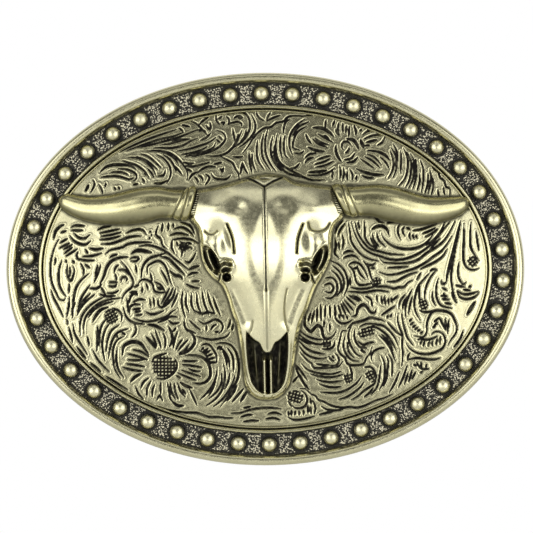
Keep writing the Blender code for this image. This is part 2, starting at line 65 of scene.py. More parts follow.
# Fine strokes of the engraving, each a run of x, z, x, z, ... in millimetres on the field
STROKES = {
    "leaf above the left horn": (
        (-26.6, 21.5, -25, 22.3, -23, 23.2, -21, 24, -19, 24.7, -16.2, 25.6),
        (-25.4, 21.7, -24, 22.2, -22, 22.9, -19, 23.9, -17, 24.3, -14.9, 25.1),
        (-23.6, 22.2, -21.6, 22.6, -19, 23.3, -16, 24.1, -14, 24.9, -12.4, 25.5, -11.7, 25.6),
        (-19, 22.8, -17.8, 22.9, -16, 23.4, -13.7, 23.9),
        (-20.6, 22.2, -19, 22.2, -17, 22.2, -15, 22.7, -13.6, 23.5, -12.3, 24),
        (-16.2, 21.6, -14, 22, -12, 22.6, -10, 23.4, -9, 24.2), (-12, 23.5, -10.8, 24.1, -10, 24.9),
        (-15.4, 21, -13, 21.4, -11, 22.2, -10.6, 22.5),
        (-14.8, 20.6, -12.4, 21.1, -10.4, 21.8, -9.4, 22.4, -9.1, 23.2),
        (-13.4, 20.5, -11, 21.2, -9.4, 21.8, -7.8, 23, -7.3, 23.8, -7.6, 24.8, -9, 25.5),
        (-11, 20.8, -9, 20.7, -7, 21.3, -6.2, 22, -5.4, 23, -4.8, 24.2, -4.2, 25.6),
        (-22, 21.6, -19, 21.6, -17.4, 21.2, -16, 20.2, -15, 19, -14.3, 17.8, -14.3, 16.4),
        (-9, 23.8, -8.3, 23.2), (-8.6, 24.4, -7.8, 23.6), (-15.9, 25.9, -15, 25.2),
        (-15.4, 26.4, -13.8, 26.1), (-13.7, 27.1, -12.6, 26.6, -11.8, 25.8, -11, 25, -10.6, 24.4),
        (-12.2, 26.4, -11.4, 27.2, -10.4, 27.9), (-12.2, 25.2, -11.2, 25.4, -10.8, 24.6),
        (-10.2, 27, -10, 26, -10.2, 25.2), (-10.9, 26.4, -10.3, 25.5),
    ),
    "scroll above the left horn": (
        (-26.3, 19.9, -25, 19.5, -23.6, 19, -22, 17.8, -21.2, 16.6),
        (-25.2, 20.5, -23.8, 20.4, -22.4, 20, -21.4, 19.2, -20.4, 18, -20.1, 17.2),
        (-23.6, 20.6, -22, 20, -20.6, 19, -19.7, 18.2), (-22.9, 21.1, -21.6, 20.7, -20.2, 19.6, -19, 18.5),
        (-21.6, 18.4, -21, 17.8, -20.4, 16.8),
        (-20.9, 21.8, -19.2, 21.6, -18, 21.2, -16.6, 20.2, -15.8, 19),
        (-20, 21, -18.8, 20.4, -18, 19.6, -17.4, 18.4, -17.4, 17, -18, 15.8),
        (-18.8, 21, -17.6, 20.2, -17, 19.4, -16.3, 17.8), (-19.8, 17, -18.6, 17.2, -18.3, 18.2),
        (-20.4, 15.7, -19, 15.7, -18, 16.2), (-17, 19.2, -16, 18.2, -15.2, 17.2),
        (-30.2, 16.8, -28.6, 17, -27, 17, -25.8, 16.7, -24.8, 16.4, -24, 16.8),
        (-28.4, 17.7, -27, 17.8, -25.8, 17.6, -25, 17.2),
        (-27, 18.4, -25.6, 18.3, -24.4, 17.9, -23.6, 17.2, -23.7, 16.4, -24.4, 16.1),
        (-24.3, 15.4, -23.2, 15.6), (-22.6, 16.6, -22, 15.8),
        (-31.6, 16.4, -31.3, 15.6, -31.7, 14.6, -32, 14), (-30.6, 15.6, -30, 14.6, -29.8, 13.8),
        (-29.2, 15.8, -29.4, 15), (-27.8, 15, -27.3, 14.5), (-27, 15.1, -26.6, 14.6),
    ),
    "leaf behind the poll": (
        (-15, 19.6, -14, 19.3, -13, 19.4), (-15, 18.9, -13.4, 18.8, -11.4, 19.2, -10.1, 19.6),
        (-9.5, 19.2, -7.9, 19.5), (-12.6, 17.5, -11.4, 18.4, -10.2, 18.8, -9, 18.7),
        (-14, 16.3, -13.5, 17.2, -12.4, 17.8), (-13, 16.9, -12.4, 16.2, -12.3, 15.7),
        (-12.4, 17.2, -11.6, 16.8, -11.4, 16), (-11, 17.4, -10.2, 16.8, -10.4, 16.2, -11, 15.4),
        (-14.4, 18.4, -13.4, 17.8), (-10, 17.6, -9.4, 16.7, -8.2, 16.4, -7, 16.5, -6.3, 17.2),
        (-8.2, 20.6, -7, 20, -6, 19.4, -5.5, 18.4, -4.9, 17.4, -4.8, 16.4), (-8.4, 18.4, -7.6, 17.8),
        (-7.6, 18.6, -8, 17.6), (-6, 20.6, -5, 20.4, -4.1, 20.6), (-4.2, 19.6, -4.4, 18.4, -4.5, 17.4),
    ),
    "scroll at the top": (
        (-9, 28.2, -9, 27.4, -8.3, 26.4), (-8.6, 27.5, -7.9, 28), (-7.8, 26.4, -7.4, 27),
        (-8.2, 26.8, -7.6, 26.9),
        (-7, 28.3, -6, 28.7, -5, 28.8, -3.8, 28.6, -3, 27.6, -2.8, 26.2, -3.2, 24.8, -4, 23.6, -5, 22.8,
         -6.2, 22), (-2.6, 28.4, -2.2, 27.6, -1.8, 26.2, -2, 25.2, -2.8, 24, -3.8, 23, -5, 22.2),
        (-7.2, 28, -6.6, 27.4, -6.8, 26.4), (-6, 25.8, -5.8, 24.6, -5.6, 23.4),
        (-5, 24.8, -5.2, 23.6, -6, 22.4), (-3.5, 25.6, -3.8, 24.2, -4.6, 23.4),
        (-7, 26.6, -6, 26.8, -5, 27, -4.3, 26.6, -4.4, 26.1), (-5.8, 27.6, -5.2, 28, -4.2, 28),
        (-5, 27.6, -4, 27.8), (-1.6, 28.8, -1.5, 28.2, -1, 27.6, -0.2, 27.2),
        (0.2, 27.3, 0.6, 28.2, 1, 28.7), (0.2, 27.1, 1.4, 27.7, 2.8, 28.2),
        (-4.2, 21.2, -3.2, 22.4, -2.2, 24, -1.4, 24.9, 0, 25.9, 1, 26, 2, 26.8, 3.4, 27.1, 4, 27.8, 5.8,
         28.1, 7, 28, 8, 28.2, 8.7, 28),
    ),
    "hatched leaf above the poll": (
        (-1.4, 23.6, -1.6, 21.6, -1.2, 19.6, -0.2, 18.2), (-0.3, 24.8, -0.7, 22.6, -0.5, 20.6, 1, 18),
        (0.5, 25.8, 0, 23.6, 0.1, 21.2, 1.2, 18.8, 2, 17.8),
        (1.4, 24.4, 1, 22.6, 1.1, 20.8, 2, 19, 2.9, 17.9),
        (2.2, 24.8, 1.9, 22.6, 2.2, 20.4, 3.2, 18.4, 4.4, 17.2), (2.9, 24.6, 2.7, 22.2, 3.1, 20.2),
        (3.6, 24.6, 3.4, 22.6, 3.8, 20.6, 4.3, 20.2), (3.3, 24.8, 3.4, 26, 4, 27.2, 4.6, 27.4),
        (7.4, 27.6, 5.6, 26.2, 4.6, 24.6, 4.4, 22.6, 5, 20.8), (8, 27, 6, 26, 5, 24.4),
        (7.6, 26.2, 6, 25.2, 5.2, 23.6, 5.1, 22.2, 6.4, 21.8), (5.2, 21.3, 6.6, 21.2, 7.1, 21.7),
        (4.2, 18.3, 5.6, 18.6, 6.3, 19.4), (-3, 21.6, -2.9, 19.8, -2.4, 17.4),
        (-2.4, 21.2, -2.4, 19.6, -1.8, 18), (-4.2, 19.6, -3.8, 18.4, -3.2, 17.4),
        (1.7, 22.8, 1.7, 21.2, 2.2, 19.6), (1.4, 21.6, 2.2, 19.2, 4, 17.6, 7, 16.8, 8, 16.4, 11, 16.3),
        (2, 21, 2.8, 19.4, 4.4, 18.2, 7, 17),
    ),
    "upper flower": (
        (15.8, 22.6, 15, 23.4, 14.2, 23.2, 14, 22.4, 14.3, 21.8), (14.6, 21.2, 15.3, 21.8, 15.4, 22.4),
        (14.4, 20, 15.6, 20.2, 16.5, 21.3), (9.6, 24.8, 11, 24, 12.4, 23.2),
        (9, 24.1, 10.2, 23.2, 11.6, 22.8), (8.6, 23.9, 9.6, 23, 11.4, 22.3), (10.8, 24.6, 11.8, 23.7),
        (7.2, 20.3, 8, 21, 9.4, 21.2), (9.4, 20, 10.6, 20.4, 12, 20.8), (9, 19.2, 10.6, 19.6, 12, 20.3),
        (9.1, 18.6, 11, 19, 12.6, 19.8), (7.6, 17.2, 10, 17.2, 11.8, 17.8, 12.8, 18.6),
        (12.4, 18, 12.2, 16.6), (13.6, 19, 13.8, 17.6, 13.6, 16.4), (14.3, 18.6, 14.4, 17.2, 14.1, 16.2),
        (15, 18, 15, 16.2), (15.4, 18.4, 16, 17.2, 15.9, 16.2), (16.8, 17.2, 16.6, 16.2),
        (17.6, 17.2, 18.4, 16.8, 20, 16.7), (17.4, 20.2, 18.6, 19.4, 20, 18.4),
        (18.2, 20.6, 19.4, 20, 21, 18.6), (18.6, 21.1, 19.8, 20.6, 21.2, 19.2),
        (18.6, 21.7, 20.2, 21.6, 21.6, 21.2, 22.8, 20), (21, 20.6, 22.2, 19.4, 22.7, 18.4),
        (17.8, 24.6, 19, 25.4, 20.4, 25.6), (18, 23.8, 19.4, 24.4, 21.6, 24.7), (18.2, 22.6, 19.2, 22.7),
        (20.5, 22.7, 21.4, 23.2, 22, 24.3), (11.2, 27.4, 11, 26.6, 11.1, 25.9), (12.8, 27.3, 12.3, 26.2),
        (13.5, 26.9, 13.3, 25.8, 13.6, 24.5), (12.8, 25.6, 13.4, 24.5), (14.2, 26.8, 14.2, 25),
        (14.9, 26.4, 14.7, 24.9), (15.4, 26.2, 15.3, 24.2), (17.2, 25.2, 17.8, 25.7),
    ),
    "hatching at the top right": (
        (22.8, 21.8, 23.3, 20.6, 23.5, 19, 23, 17.4, 22.4, 16.6),
        (23, 22.4, 23.8, 21, 24.1, 19.4, 23.8, 17.6, 23.4, 16.8), (23.4, 23, 24.1, 21.6, 24.3, 19.8),
        (24.8, 21.8, 24.9, 20.4, 24.8, 17.6), (25.3, 22.2, 26, 20.6, 26.1, 18.6, 25.6, 16.6, 24.4, 15.2),
        (26, 21.4, 26.7, 19.8, 26.7, 18, 26.2, 15.8, 25.6, 14.9),
        (26.6, 21.2, 27.2, 20, 27.3, 18.2, 26.8, 15.8, 26.2, 14.8),
        (27.6, 20.2, 27.7, 18.6, 27.6, 16.6, 27, 14.6), (28.4, 20, 28.9, 18.6, 29, 17, 28.8, 15, 28.6, 14),
        (28.2, 17.6, 28.3, 16, 27.8, 14.4), (29.8, 17.6, 29.8, 15.8, 29.2, 13.8),
        (30.1, 18.4, 30.4, 17, 30.2, 15.4, 29.8, 13.8), (30.7, 16.8, 30.8, 15, 30.4, 13.6),
        (31.6, 14.6, 31.8, 13.4),
        (30.5, 19.2, 30.8, 18.4, 31.8, 17.7, 32, 16.8, 32.8, 16.2, 33.2, 15, 33.8, 14.8, 33.8, 13.4),
        (32.6, 15, 32.9, 13.6),
    ),
    "leaf at the far left": (
        (-37.8, 5.5, -38.4, 4.5, -38.9, 3.2, -39.3, 1.5, -39.4, -0.7, -39, -2.9, -38.3, -4.4, -37.7, -5.5,
         -36.8, -5.7, -36.6, -5.3), (-38.4, 2.1, -38.6, 0.8),
        (-39.3, -3.8, -38.8, -5.3, -38.1, -6.6, -37, -8.8), (-35.9, -2.7, -36, -4.4),
        (-35.9, -5.1, -36, -6.6, -36.4, -8.8),
        (-32.1, -2.9, -32.9, -4, -33.8, -5.5, -34.2, -7, -34.5, -8.5),
        (-36.2, 0.9, -36.4, -0.3, -36.2, -1.4, -35.6, -2.2, -35.2, -1.2, -35, -0.1, -35.3, 0.6),
        (-35.8, 0.4, -35.8, -1.4), (-37.5, 6.7, -36.4, 7), (-35.6, 7.7, -34.8, 8, -33, 7.9),
        (-35.6, 7.1, -33.3, 7.1), (-35.1, 6.6, -34.2, 5.8, -33.1, 5.6, -32.1, 6.3),
        (-37.6, 4.8, -36.2, 5.6), (-37.8, 3.8, -35.8, 4.8), (-37, 3.6, -35.3, 4.5), (-36.9, 2.8, -35.3, 4),
        (-36.6, 2.3, -34.4, 3.7), (-33.5, 2.3, -31.8, 2.4, -29.9, 2.9),
        (-34.2, 1.9, -33.1, 1.6, -31.2, 1.6), (-34.3, 3.2, -34.6, 2.3, -34, 1.6),
        (-33.8, 1, -33.3, -0.1, -33.3, -1.2), (-33.1, 0.9, -32.1, 0.2),
        (-31.4, -2.5, -30.7, -0.9, -30.1, 0.8), (-31.2, -1.4, -30.7, 0.8),
        (-32.2, -3.5, -30.7, -3.5, -29.9, -2.7), (-33, 3.6, -32.4, 2.8), (-35.4, 1.6, -34.9, 1.1),
        (-36.6, 1.7, -36.4, 1.2),
    ),
    "bands below the left horn": (
        (-30.7, 7.2, -29.6, 7.7, -28.2, 7.9), (-30.3, 6.6, -28.3, 7, -26.6, 7.4),
        (-30.1, 6, -28.1, 6.3, -26.3, 6.8), (-30.3, 5.4, -28.3, 5.6, -26.4, 6.1),
        (-25.5, 6.6, -24, 7.2, -22.5, 7.2, -21.7, 6.3), (-21.2, 7, -20.9, 6.7), (-21, 6.4, -20.7, 6.1),
        (-21.4, 5.8, -21, 5.6),
        (-29.3, 2.7, -28.5, 3.4, -27, 3.8, -25.9, 4.1, -25.5, 4.4, -24.2, 4.8, -22, 4.9, -20.7, 4.9),
        (-28.5, 2.1, -27.9, 2.5, -27, 2.7), (-27.7, -0.7, -27.5, 0.2, -26.8, 0.8),
        (-27, -0.1, -25.7, -0.2, -24.8, -1.2),
        (-26.4, -2.4, -26.3, -1.6, -25.7, -1.4, -25.3, -1.8, -25.5, -2.3),
        (-26.5, 1.5, -25.7, 0.6, -24.8, -0.9, -24.2, -2.5, -24.3, -3.1, -25.5, -4.2, -26.2, -5.3, -26.3,
         -6), (-28.7, -2.4, -27, -2.4), (-28.7, -3.1, -27.4, -3.1, -27.2, -2.6),
        (-27.6, -0.8, -27.3, -1.6, -27.3, -2.2), (-29, -4.4, -27.7, -4.4, -26.8, -3.9),
        (-23.1, 4.2, -21.6, 4.4, -19.8, 4, -17.9, 3, -16.6, 1.9, -15.3, 0.9, -14, -0.1),
        (-24.8, 1.9, -23.8, 2.2, -23.1, 2, -23.5, 1.5, -24.6, 1.5), (-23.8, 0.8, -23.5, -0.7),
        (-21.6, -0.9, -21.6, 0.4, -20.7, 1.1, -19.4, 1.5, -18.5, 0.8, -17.9, -0.5, -17.5, -2, -17, -3.1),
        (-19.2, -0.1, -18.5, -1.2, -17.7, -2.9), (-21.1, -0.7, -20.7, -2.2),
        (-23.3, -2.7, -22.7, -2, -21.6, -2, -20.7, -2.7, -20.3, -4, -18.3, -4.3), (-24, -3.3, -23.1, -2.9),
        (-20.3, -2.3, -19.2, -2.9, -18.3, -4.2), (-22.5, -3.3, -22.6, -4.4), (-21.9, -2.6, -21.4, -3.8),
    ),
    "scroll by the left cheek": (
        (-19.6, 8, -20, 6.2, -19.2, 5.6, -18.8, 4.3, -17.9, 3.6), (-18.8, 8.4, -19, 6.7),
        (-17.7, 8.5, -17.8, 7.1), (-16.9, 8.4, -16.8, 7.6), (-17.5, 6.2, -15.9, 6.6, -14, 6.2),
        (-16.8, 7.3, -15.5, 7.7, -13.8, 6.9, -13.1, 6), (-15.5, 8.6, -13.8, 8, -12.9, 6.4),
        (-16.9, 5.4, -15.5, 5.6, -13.5, 5.4, -12.2, 4.7), (-17, 5.4, -17.2, 4.1, -16.6, 2.8),
        (-15.3, 2.3, -15.1, 3.4, -14, 4.1, -13.3, 3.8), (-14.8, 1.5, -14, 1.2, -13.3, 1.9, -12.7, 3),
        (-14.2, -1.2, -13.3, -0.7, -12.2, -0.7), (-13.5, -2.2, -12, -2.2), (-16.3, 5, -16, 4.3),
        (-15.6, 5, -14.8, 4.5, -15.8, 3.9), (-14.4, 4.9, -13.4, 4.6), (-14.6, -2.7, -13.3, -3.3, -12, -3.5),
        (-16.8, -3.3, -17.5, -4.8, -18.8, -6.6), (-16.4, -3.5, -17, -5.3, -18.1, -6.6, -19, -7.2),
        (-17.5, -3.5, -18.5, -5.3, -19.1, -6.4), (-19.6, -5.5, -19.6, -6.6, -19, -7.1),
        (-15.1, -4, -15.3, -5.7, -15.1, -7.5, -14.6, -9), (-14.4, -4.4, -14.6, -6.2, -14, -7.9),
        (-13.5, -4.4, -13.5, -6.6, -12.9, -7.9), (-12.6, -4.4, -12.3, -6.8, -11.5, -8.6),
        (-11.6, -4, -11.2, -6.2, -10.3, -8.4), (-10.6, -4.2, -10.1, -6.2, -9.2, -8.2),
        (-9.6, -5, -9, -6.8, -8.2, -8.6), (-21.2, -5.4, -20.9, -7), (-20.5, -5.2, -20.3, -6.8),
    ),
    "leaves at the lower left": (
        (-26.5, -5.3, -28.6, -5.6, -30.6, -6.4, -32, -7.6, -33, -9, -33.3, -10.5, -33.2, -12),
        (-27.8, -5.9, -29.7, -6.5, -31.3, -7.4, -32.4, -8.9),
        (-29.3, -5, -31, -5.9, -32.8, -7.4, -33.7, -8.9, -34, -10.4, -33.9, -12.2),
        (-31.2, -4.6, -33.2, -6.3, -34.1, -7.6, -34.5, -8.5), (-32, -4.4, -33.7, -6.3, -34.4, -7.6),
        (-34.8, -6.1, -35.4, -7.6, -35.3, -8.9), (-36.4, -9.2, -36.2, -10.2),
        (-35.3, -10, -35, -11.7, -33.9, -13.7, -32.6, -15.7), (-36, -10.7, -35.6, -12.4, -35.3, -13.5),
        (-31.7, -14.8, -30.8, -16.5, -29.7, -17.8, -28.5, -18.9),
        (-32.1, -17.2, -31.3, -17.8, -30.1, -18.9), (-29.3, -19.6, -28, -20.4, -26.3, -21.5, -25.1, -22.2),
        (-32.6, -12.4, -32.3, -14.1), (-30.7, -10.4, -30.8, -11.7, -30.8, -13.5, -30.9, -15.1),
        (-29.1, -9.1, -30, -10.4, -30.4, -12.2, -30.4, -14.1),
        (-28.4, -9.8, -29.3, -11.1, -29.8, -12.8, -29.8, -15, -29.4, -17),
        (-26.7, -10.2, -28.2, -11.3, -28.9, -13, -29.2, -15.2),
        (-25, -10.9, -26.3, -11.3, -27.1, -11.7, -28, -13, -28.5, -14.8, -28.8, -16.5),
        (-25.8, -12.3, -27.1, -13, -27.8, -14.3, -27.9, -16.3, -27.6, -18.3, -26.5, -20.2),
        (-27.1, -14.3, -27.3, -16.3, -26.9, -18.5, -25.9, -20),
        (-28, -7.2, -26.9, -7.6, -26.3, -8.5, -26.4, -9.6),
        (-26, -7, -25.6, -8.5, -25, -9.3, -24.1, -9.8, -22, -10.1),
        (-24.1, -9.9, -23.7, -10.9, -23.8, -11.7, -24.5, -12.5), (-27, -11.6, -26, -11.2),
        (-27.4, -11.9, -27, -12.6), (-26.4, -11.6, -25.6, -12),
        (-24.8, -8.3, -24.8, -7, -24.1, -6.5, -22.8, -6.5), (-24.3, -6.1, -22.8, -5.5, -21.9, -5.7),
        (-24.9, -6.2, -24.6, -4.9, -23.6, -4.4), (-24.3, -7.4, -22.8, -7.2), (-24, -7.9, -22.7, -7.7),
        (-23.8, -8.5, -22.5, -8.3), (-22, -7.8, -20.8, -8.3, -19.5, -8, -18.5, -7.6),
        (-24.1, -9, -22.8, -9.5, -21, -9.6, -19.5, -9.2, -17.8, -8.5, -17.1, -7.8, -16.3, -7.4),
        (-19.7, -9.8, -18.4, -9.3, -17.3, -8.7, -16, -8.8), (-17.8, -9.3, -17, -10, -15.7, -9.8),
        (-19.1, -7, -18, -6.3, -17.3, -5.4), (-17.2, -7, -16.6, -5.8, -16, -4.4),
        (-24.8, -4.3, -23.4, -4.1), (-30.4, -4.6, -28.8, -5, -27.4, -4.9),
        (-25.4, -5.4, -25.2, -6.6, -25.1, -8),
    ),
    "lower flower": (
        (-20.8, -17.2, -20.4, -16.3, -19.3, -15.8, -18, -15.4),
        (-16.7, -16.3, -16.2, -17.2, -16.3, -18.3, -17.1, -19.3, -18.4, -20.1, -20, -20),
        (-24.3, -14.8, -22.8, -15.1, -21.3, -16.1), (-25.3, -15.5, -23.7, -15.9, -21.5, -16.6),
        (-25.2, -16.6, -23.4, -16.7, -21.9, -16.5), (-25.5, -17.4, -23.7, -17.6, -22, -17.9),
        (-23.8, -21.5, -23.2, -23, -22.3, -23.9), (-22.9, -22, -22.3, -20.7, -21.3, -19.9),
        (-21.7, -23.5, -21.7, -22, -20.9, -20.4), (-20.7, -23.5, -20.7, -22.2, -20.2, -21.1),
        (-19.2, -20.7, -19.2, -23), (-19.9, -24.1, -19.4, -23.2, -18.8, -24.2),
        (-18, -20.7, -17.6, -22.5, -17.4, -23.8, -16.7, -24.7), (-17.4, -20.8, -17.2, -22.5, -16.4, -24),
        (-16.7, -20.8, -16.5, -22.5, -15.9, -24), (-16.1, -20.8, -15.5, -22.5, -14.6, -23.5),
        (-13.9, -22, -13.3, -23.3, -12.8, -24.4, -12.5, -25.1), (-15.2, -22, -14.5, -23),
        (-15.3, -16.8, -13.7, -16.9, -12.3, -16.8), (-15.3, -17.5, -13.5, -17.7, -11.5, -18),
        (-14.2, -18.2, -13, -18.7, -11.8, -18.7), (-15.4, -18.5, -13.7, -19.1, -11.8, -19.7),
        (-16.1, -19, -14.3, -19.8, -12.6, -20.4), (-16.4, -19.5, -15.4, -20),
        (-16.4, -14.9, -15.9, -13.8, -15.1, -12.8), (-16, -15, -15.2, -14, -14.1, -12.9),
        (-15.9, -15.5, -14.8, -14.9, -13.9, -13.7),
        (-20.2, -11.1, -19.8, -12.4, -19.3, -13.7, -19.1, -14.6), (-20.9, -11.8, -20.3, -13, -19.8, -14.2),
        (-18.7, -11.7, -18.3, -13, -18.4, -14.6), (-16.3, -10.7, -16.9, -11.5),
        (-16, -11.3, -16.5, -12.6, -16.9, -14.6),
    ),
    "scroll left of the jaw": (
        (-14.8, -9.2, -14.8, -10.3, -14.3, -11.2, -13.5, -11.4, -12.7, -11.8),
        (-13.9, -9.4, -13, -10.3, -11.8, -11.2),
        (-12.3, -9.4, -11.3, -10, -10.2, -9.7, -9.3, -9.2, -8.5, -9.4, -7.8, -10.3, -7.9, -11.2, -8.5,
         -11.8), (-10.8, -11.4, -10.8, -10.3), (-10, -11.2, -9.6, -10.5, -8.9, -10.1),
        (-9.3, -11.6, -8.5, -11.4), (-7, -11, -6.5, -10.1, -6.4, -9.2), (-6.1, -11.3, -5.8, -10),
        (-12.6, -12.3, -11.3, -12.7, -9.8, -12.9, -8.3, -12.7, -6.9, -12.2, -6.5, -11.6),
        (-13, -7.6, -11.6, -8.2, -10.4, -7.9, -9.2, -8.2),
        (-11.8, -14.1, -11.1, -13.7, -10.2, -13.9, -9.6, -14.7, -9, -15.7, -8.9, -17.2),
        (-12.2, -14.9, -11.1, -15.5, -10.4, -16.6, -10, -17.4), (-11.7, -14.8, -11.2, -14.3),
        (-11.4, -15.2, -10.4, -14.5), (-11.1, -15.5, -10, -14.9), (-10.7, -16, -9.6, -15.5),
        (-10.4, -16.5, -9.2, -16.2), (-10.2, -17.1, -9, -17.1),
        (-7, -14.4, -6.1, -15.7, -5.8, -17.7, -5.9, -19),
        (-5.5, -19.4, -5.9, -20.7, -6.7, -22.3, -8, -24, -9.6, -25.3),
        (-8.3, -14.2, -7.2, -15.5, -6.6, -17, -6.5, -18.3), (-6.5, -19, -6.7, -20.3, -7.4, -22),
        (-7.8, -15.1, -7.2, -16.4, -7, -17.9),
        (-7.7, -17.3, -7.4, -18.8, -7.6, -21.2, -8, -22.3, -9.1, -23.8, -10.9, -25.1),
        (-8, -19, -8, -20.7, -8.9, -22.5, -10.4, -23.8),
        (-8.8, -17.9, -8.9, -19.2, -9.6, -21.2, -10.7, -22.7, -12, -24),
        (-9.1, -20.5, -9.6, -21.8, -10.4, -23.3), (-8.4, -14.9, -7.9, -14.1), (-8.9, -14.8, -8.3, -14),
        (-5.1, -21.2, -5.8, -22.6, -7, -24.2),
    ),
    "contour lines at the bottom": (
        (-20, -25.1, -18.3, -25.7, -16.5, -26.1, -14.6, -26.3, -12.4, -26.4, -11.3, -26.8, -10.4, -27.1,
         -8.7, -27.1, -7, -27.3, -5.7, -27.3),
        (-6.4, -26.4, -4.8, -26.4, -2.8, -25.8, -1.1, -25.5, 1, -25.4, 3, -25.6),
        (-4.1, -25.5, -2.6, -25.2), (-4.6, -27.2, -3.5, -26.8, -2.2, -26.7),
        (-4.1, -28, -2.6, -27.8, -1.1, -27.8), (0.4, -26.6, 1.6, -26.3, 3, -26.7),
        (0, -27.5, 1.6, -27.3, 2.8, -27.7),
        (6.3, -21.9, 7.2, -21.9, 7.7, -22.3, 8.5, -23, 9.2, -23.2, 9.6, -23.9, 10.7, -24.3, 11.6, -24.8,
         12.7, -25.2, 14, -25.4, 15.5, -25.3, 16.8, -25.4, 18.1, -25.1, 19.4, -24.5, 20.5, -24, 21.6,
         -23.7, 23.4, -22.9), (10.2, -25.1, 11.1, -25.7, 12.4, -25.9, 14.2, -25.8),
        (9.8, -26.7, 11.1, -26.4, 12.4, -26.2),
    ),
    "shell below the jaw": (
        (6.5, -22.2, 7.4, -23, 7.7, -24.1, 7.2, -25.2, 6.3, -25.5, 5.3, -25.4, 5, -25),
        (4.1, -27.1, 5, -27.6, 6.3, -27.6, 8.3, -27.2, 9.2, -26.9), (4.2, -26, 4.3, -26.9),
        (4.8, -25.8, 4.8, -26.9), (5.5, -25.9, 5.4, -26.9), (6.2, -25.9, 6.2, -26.9), (7, -25.8, 7, -26.8),
        (7.8, -25, 7.8, -26.5), (8.3, -25.2, 8.4, -26.6), (8.7, -24.1, 9.2, -25.4, 9, -26.6),
        (4.2, -24.2, 4.8, -25.2), (8.2, -23.6, 8.4, -24.8),
    ),
    "half flower by the right cheek": (
        (12, 1.5, 13.3, 0.9, 14.4, -0.2, 15, -1.7, 15, -3.5, 14.4, -4.8),
        (12.2, 0.7, 13.3, -0.2, 14.2, -1.5, 14.4, -3, 14, -4.3),
        (12, -0.2, 13.1, -1.1, 13.8, -2.4, 13.8, -3.9, 13.1, -5),
        (10.9, -1.7, 12, -1.5, 12.9, -2.2, 13.2, -3.3, 12.9, -4.6, 11.8, -5.4, 10.9, -5.2),
        (10.7, -3, 11.8, -2.6, 12.5, -3.5, 12, -4.3, 10.9, -4.1), (12.7, -6.5, 12.9, -8.7),
        (13.3, -6.5, 14, -8.7), (13.8, -6.3, 14.8, -8.5), (14.1, -6, 15.6, -8.3), (14.4, -5.6, 16.2, -7.7),
        (14.8, -5.1, 16.6, -6.7), (15.2, -4.8, 17.2, -5.9), (11.8, -6.6, 11.9, -9), (11, -6.6, 10.9, -9),
        (10.1, -6.4, 10.2, -9.6), (9.5, -7, 9.4, -9.7), (9, -7.6, 8.4, -9.9), (8.3, -8, 7.8, -9.6),
        (10.8, -9.4, 10.7, -10.6), (11.8, -10, 11.8, -11.5), (12.7, 6.5, 13.3, 8, 14.2, 8.9),
        (13.2, 6, 13.8, 7.4, 14.6, 8.4), (12.7, 5.7, 12.9, 4.3, 12.7, 2.8, 13.5, 2),
        (14, 6.4, 14.3, 5, 14, 3.6), (14.2, 2.8, 15.1, 3.3, 16.2, 3.2),
        (14.2, 2, 15.1, 2.4, 16.4, 2.4, 17.2, 1.7), (13.4, 5, 13.5, 3.6),
        (12.6, -8, 13.1, -9.4, 14.2, -10, 15.3, -9.7, 15.9, -9.3), (13.4, -8.3, 13.7, -9.1),
        (14.2, -8.4, 14.4, -9.2), (14.9, -8.6, 15.1, -9.2),
    ),
    "curves below the right horn": (
        (15.2, 8.5, 15.5, 6.7, 15.7, 5.2, 16.6, 3.7, 17.9, 2.4, 19.2, 1.8, 20.7, 1.5),
        (20.9, 2, 21.4, 1.4, 23.5, 1.1, 25.7, 1.1, 27.9, 1.7, 29.6, 3, 31.4, 4.1, 32.7, 5.2, 34, 7.2, 34.8,
         8.9),
        (15.7, 8.7, 16.2, 7, 17, 5.2, 18.1, 3.7, 19.6, 2.8, 20.9, 2.4, 22.7, 1.8, 24.6, 1.7, 26.6, 2.2,
         28.3, 3, 30.1, 4.3, 31.6, 5.9, 32.9, 7.6, 33.8, 8.7),
        (16.4, 8.7, 16.8, 7, 17.9, 5, 19.2, 3.7, 20.7, 3.3, 22.7, 2.8, 25.4, 2.6),
        (18.1, 8.9, 18.2, 7.4, 18.3, 5.7, 19, 4.6, 20.3, 3.7), (19.6, 6.5, 19.8, 5.4, 20.9, 4.1),
        (20.4, 6.7, 20.7, 5.4, 22, 4.1), (19.2, 5.8, 20, 4.4, 20.6, 3.8), (17, 8.7, 17.2, 7.4),
        (20.1, 9.6, 20.9, 8.7, 21.8, 8.5), (22.2, 8.4, 23.5, 8.7, 24.6, 8.9),
        (24.8, 8.4, 24.3, 7.6, 24.4, 6.3, 24.8, 5.4), (25.5, 7.8, 25.1, 7.2, 25.5, 6.1),
        (26.5, 6.7, 26.4, 6.1, 26.6, 5.4), (27, 6.4, 27.2, 5.5), (27.6, 6.3, 27.8, 5.6),
        (27, 7.1, 28.5, 7.3, 30.1, 7.8, 31.4, 8.3), (28.7, 6.5, 30.1, 7, 31.2, 7.6),
        (29.2, 5.9, 30.5, 6.5, 31.6, 7.4), (29.4, 4.3, 31.2, 5.7, 32.2, 7, 32.9, 8.6),
        (22.3, 0.2, 24, 0.3, 26.2, 0.5), (25.8, 7.6, 26.6, 7.3), (29.9, 3.2, 31.2, 4.8, 32, 5.6),
        (20.7, -0.5, 22.2, -1, 24, -0.9, 25.7, -0.4, 27.5, 0.2, 29.2, 1.1, 30.9, 2.4, 32.2, 3.3, 33.3, 4.6,
         34.2, 6.1), (28.3, 0, 29.8, 0.7, 31.4, 1.5, 32.7, 2.6, 33.3, 3.7),
        (22.2, -2.3, 24, -2.2, 25.3, -1.5, 26.6, -0.9, 27.9, -0.5),
        (19.2, -2.2, 19.8, -3, 21.8, -3.2, 22.7, -3.3, 23.5, -3.6, 24.4, -3.3, 25.3, -3.3, 26.2, -2.4, 27,
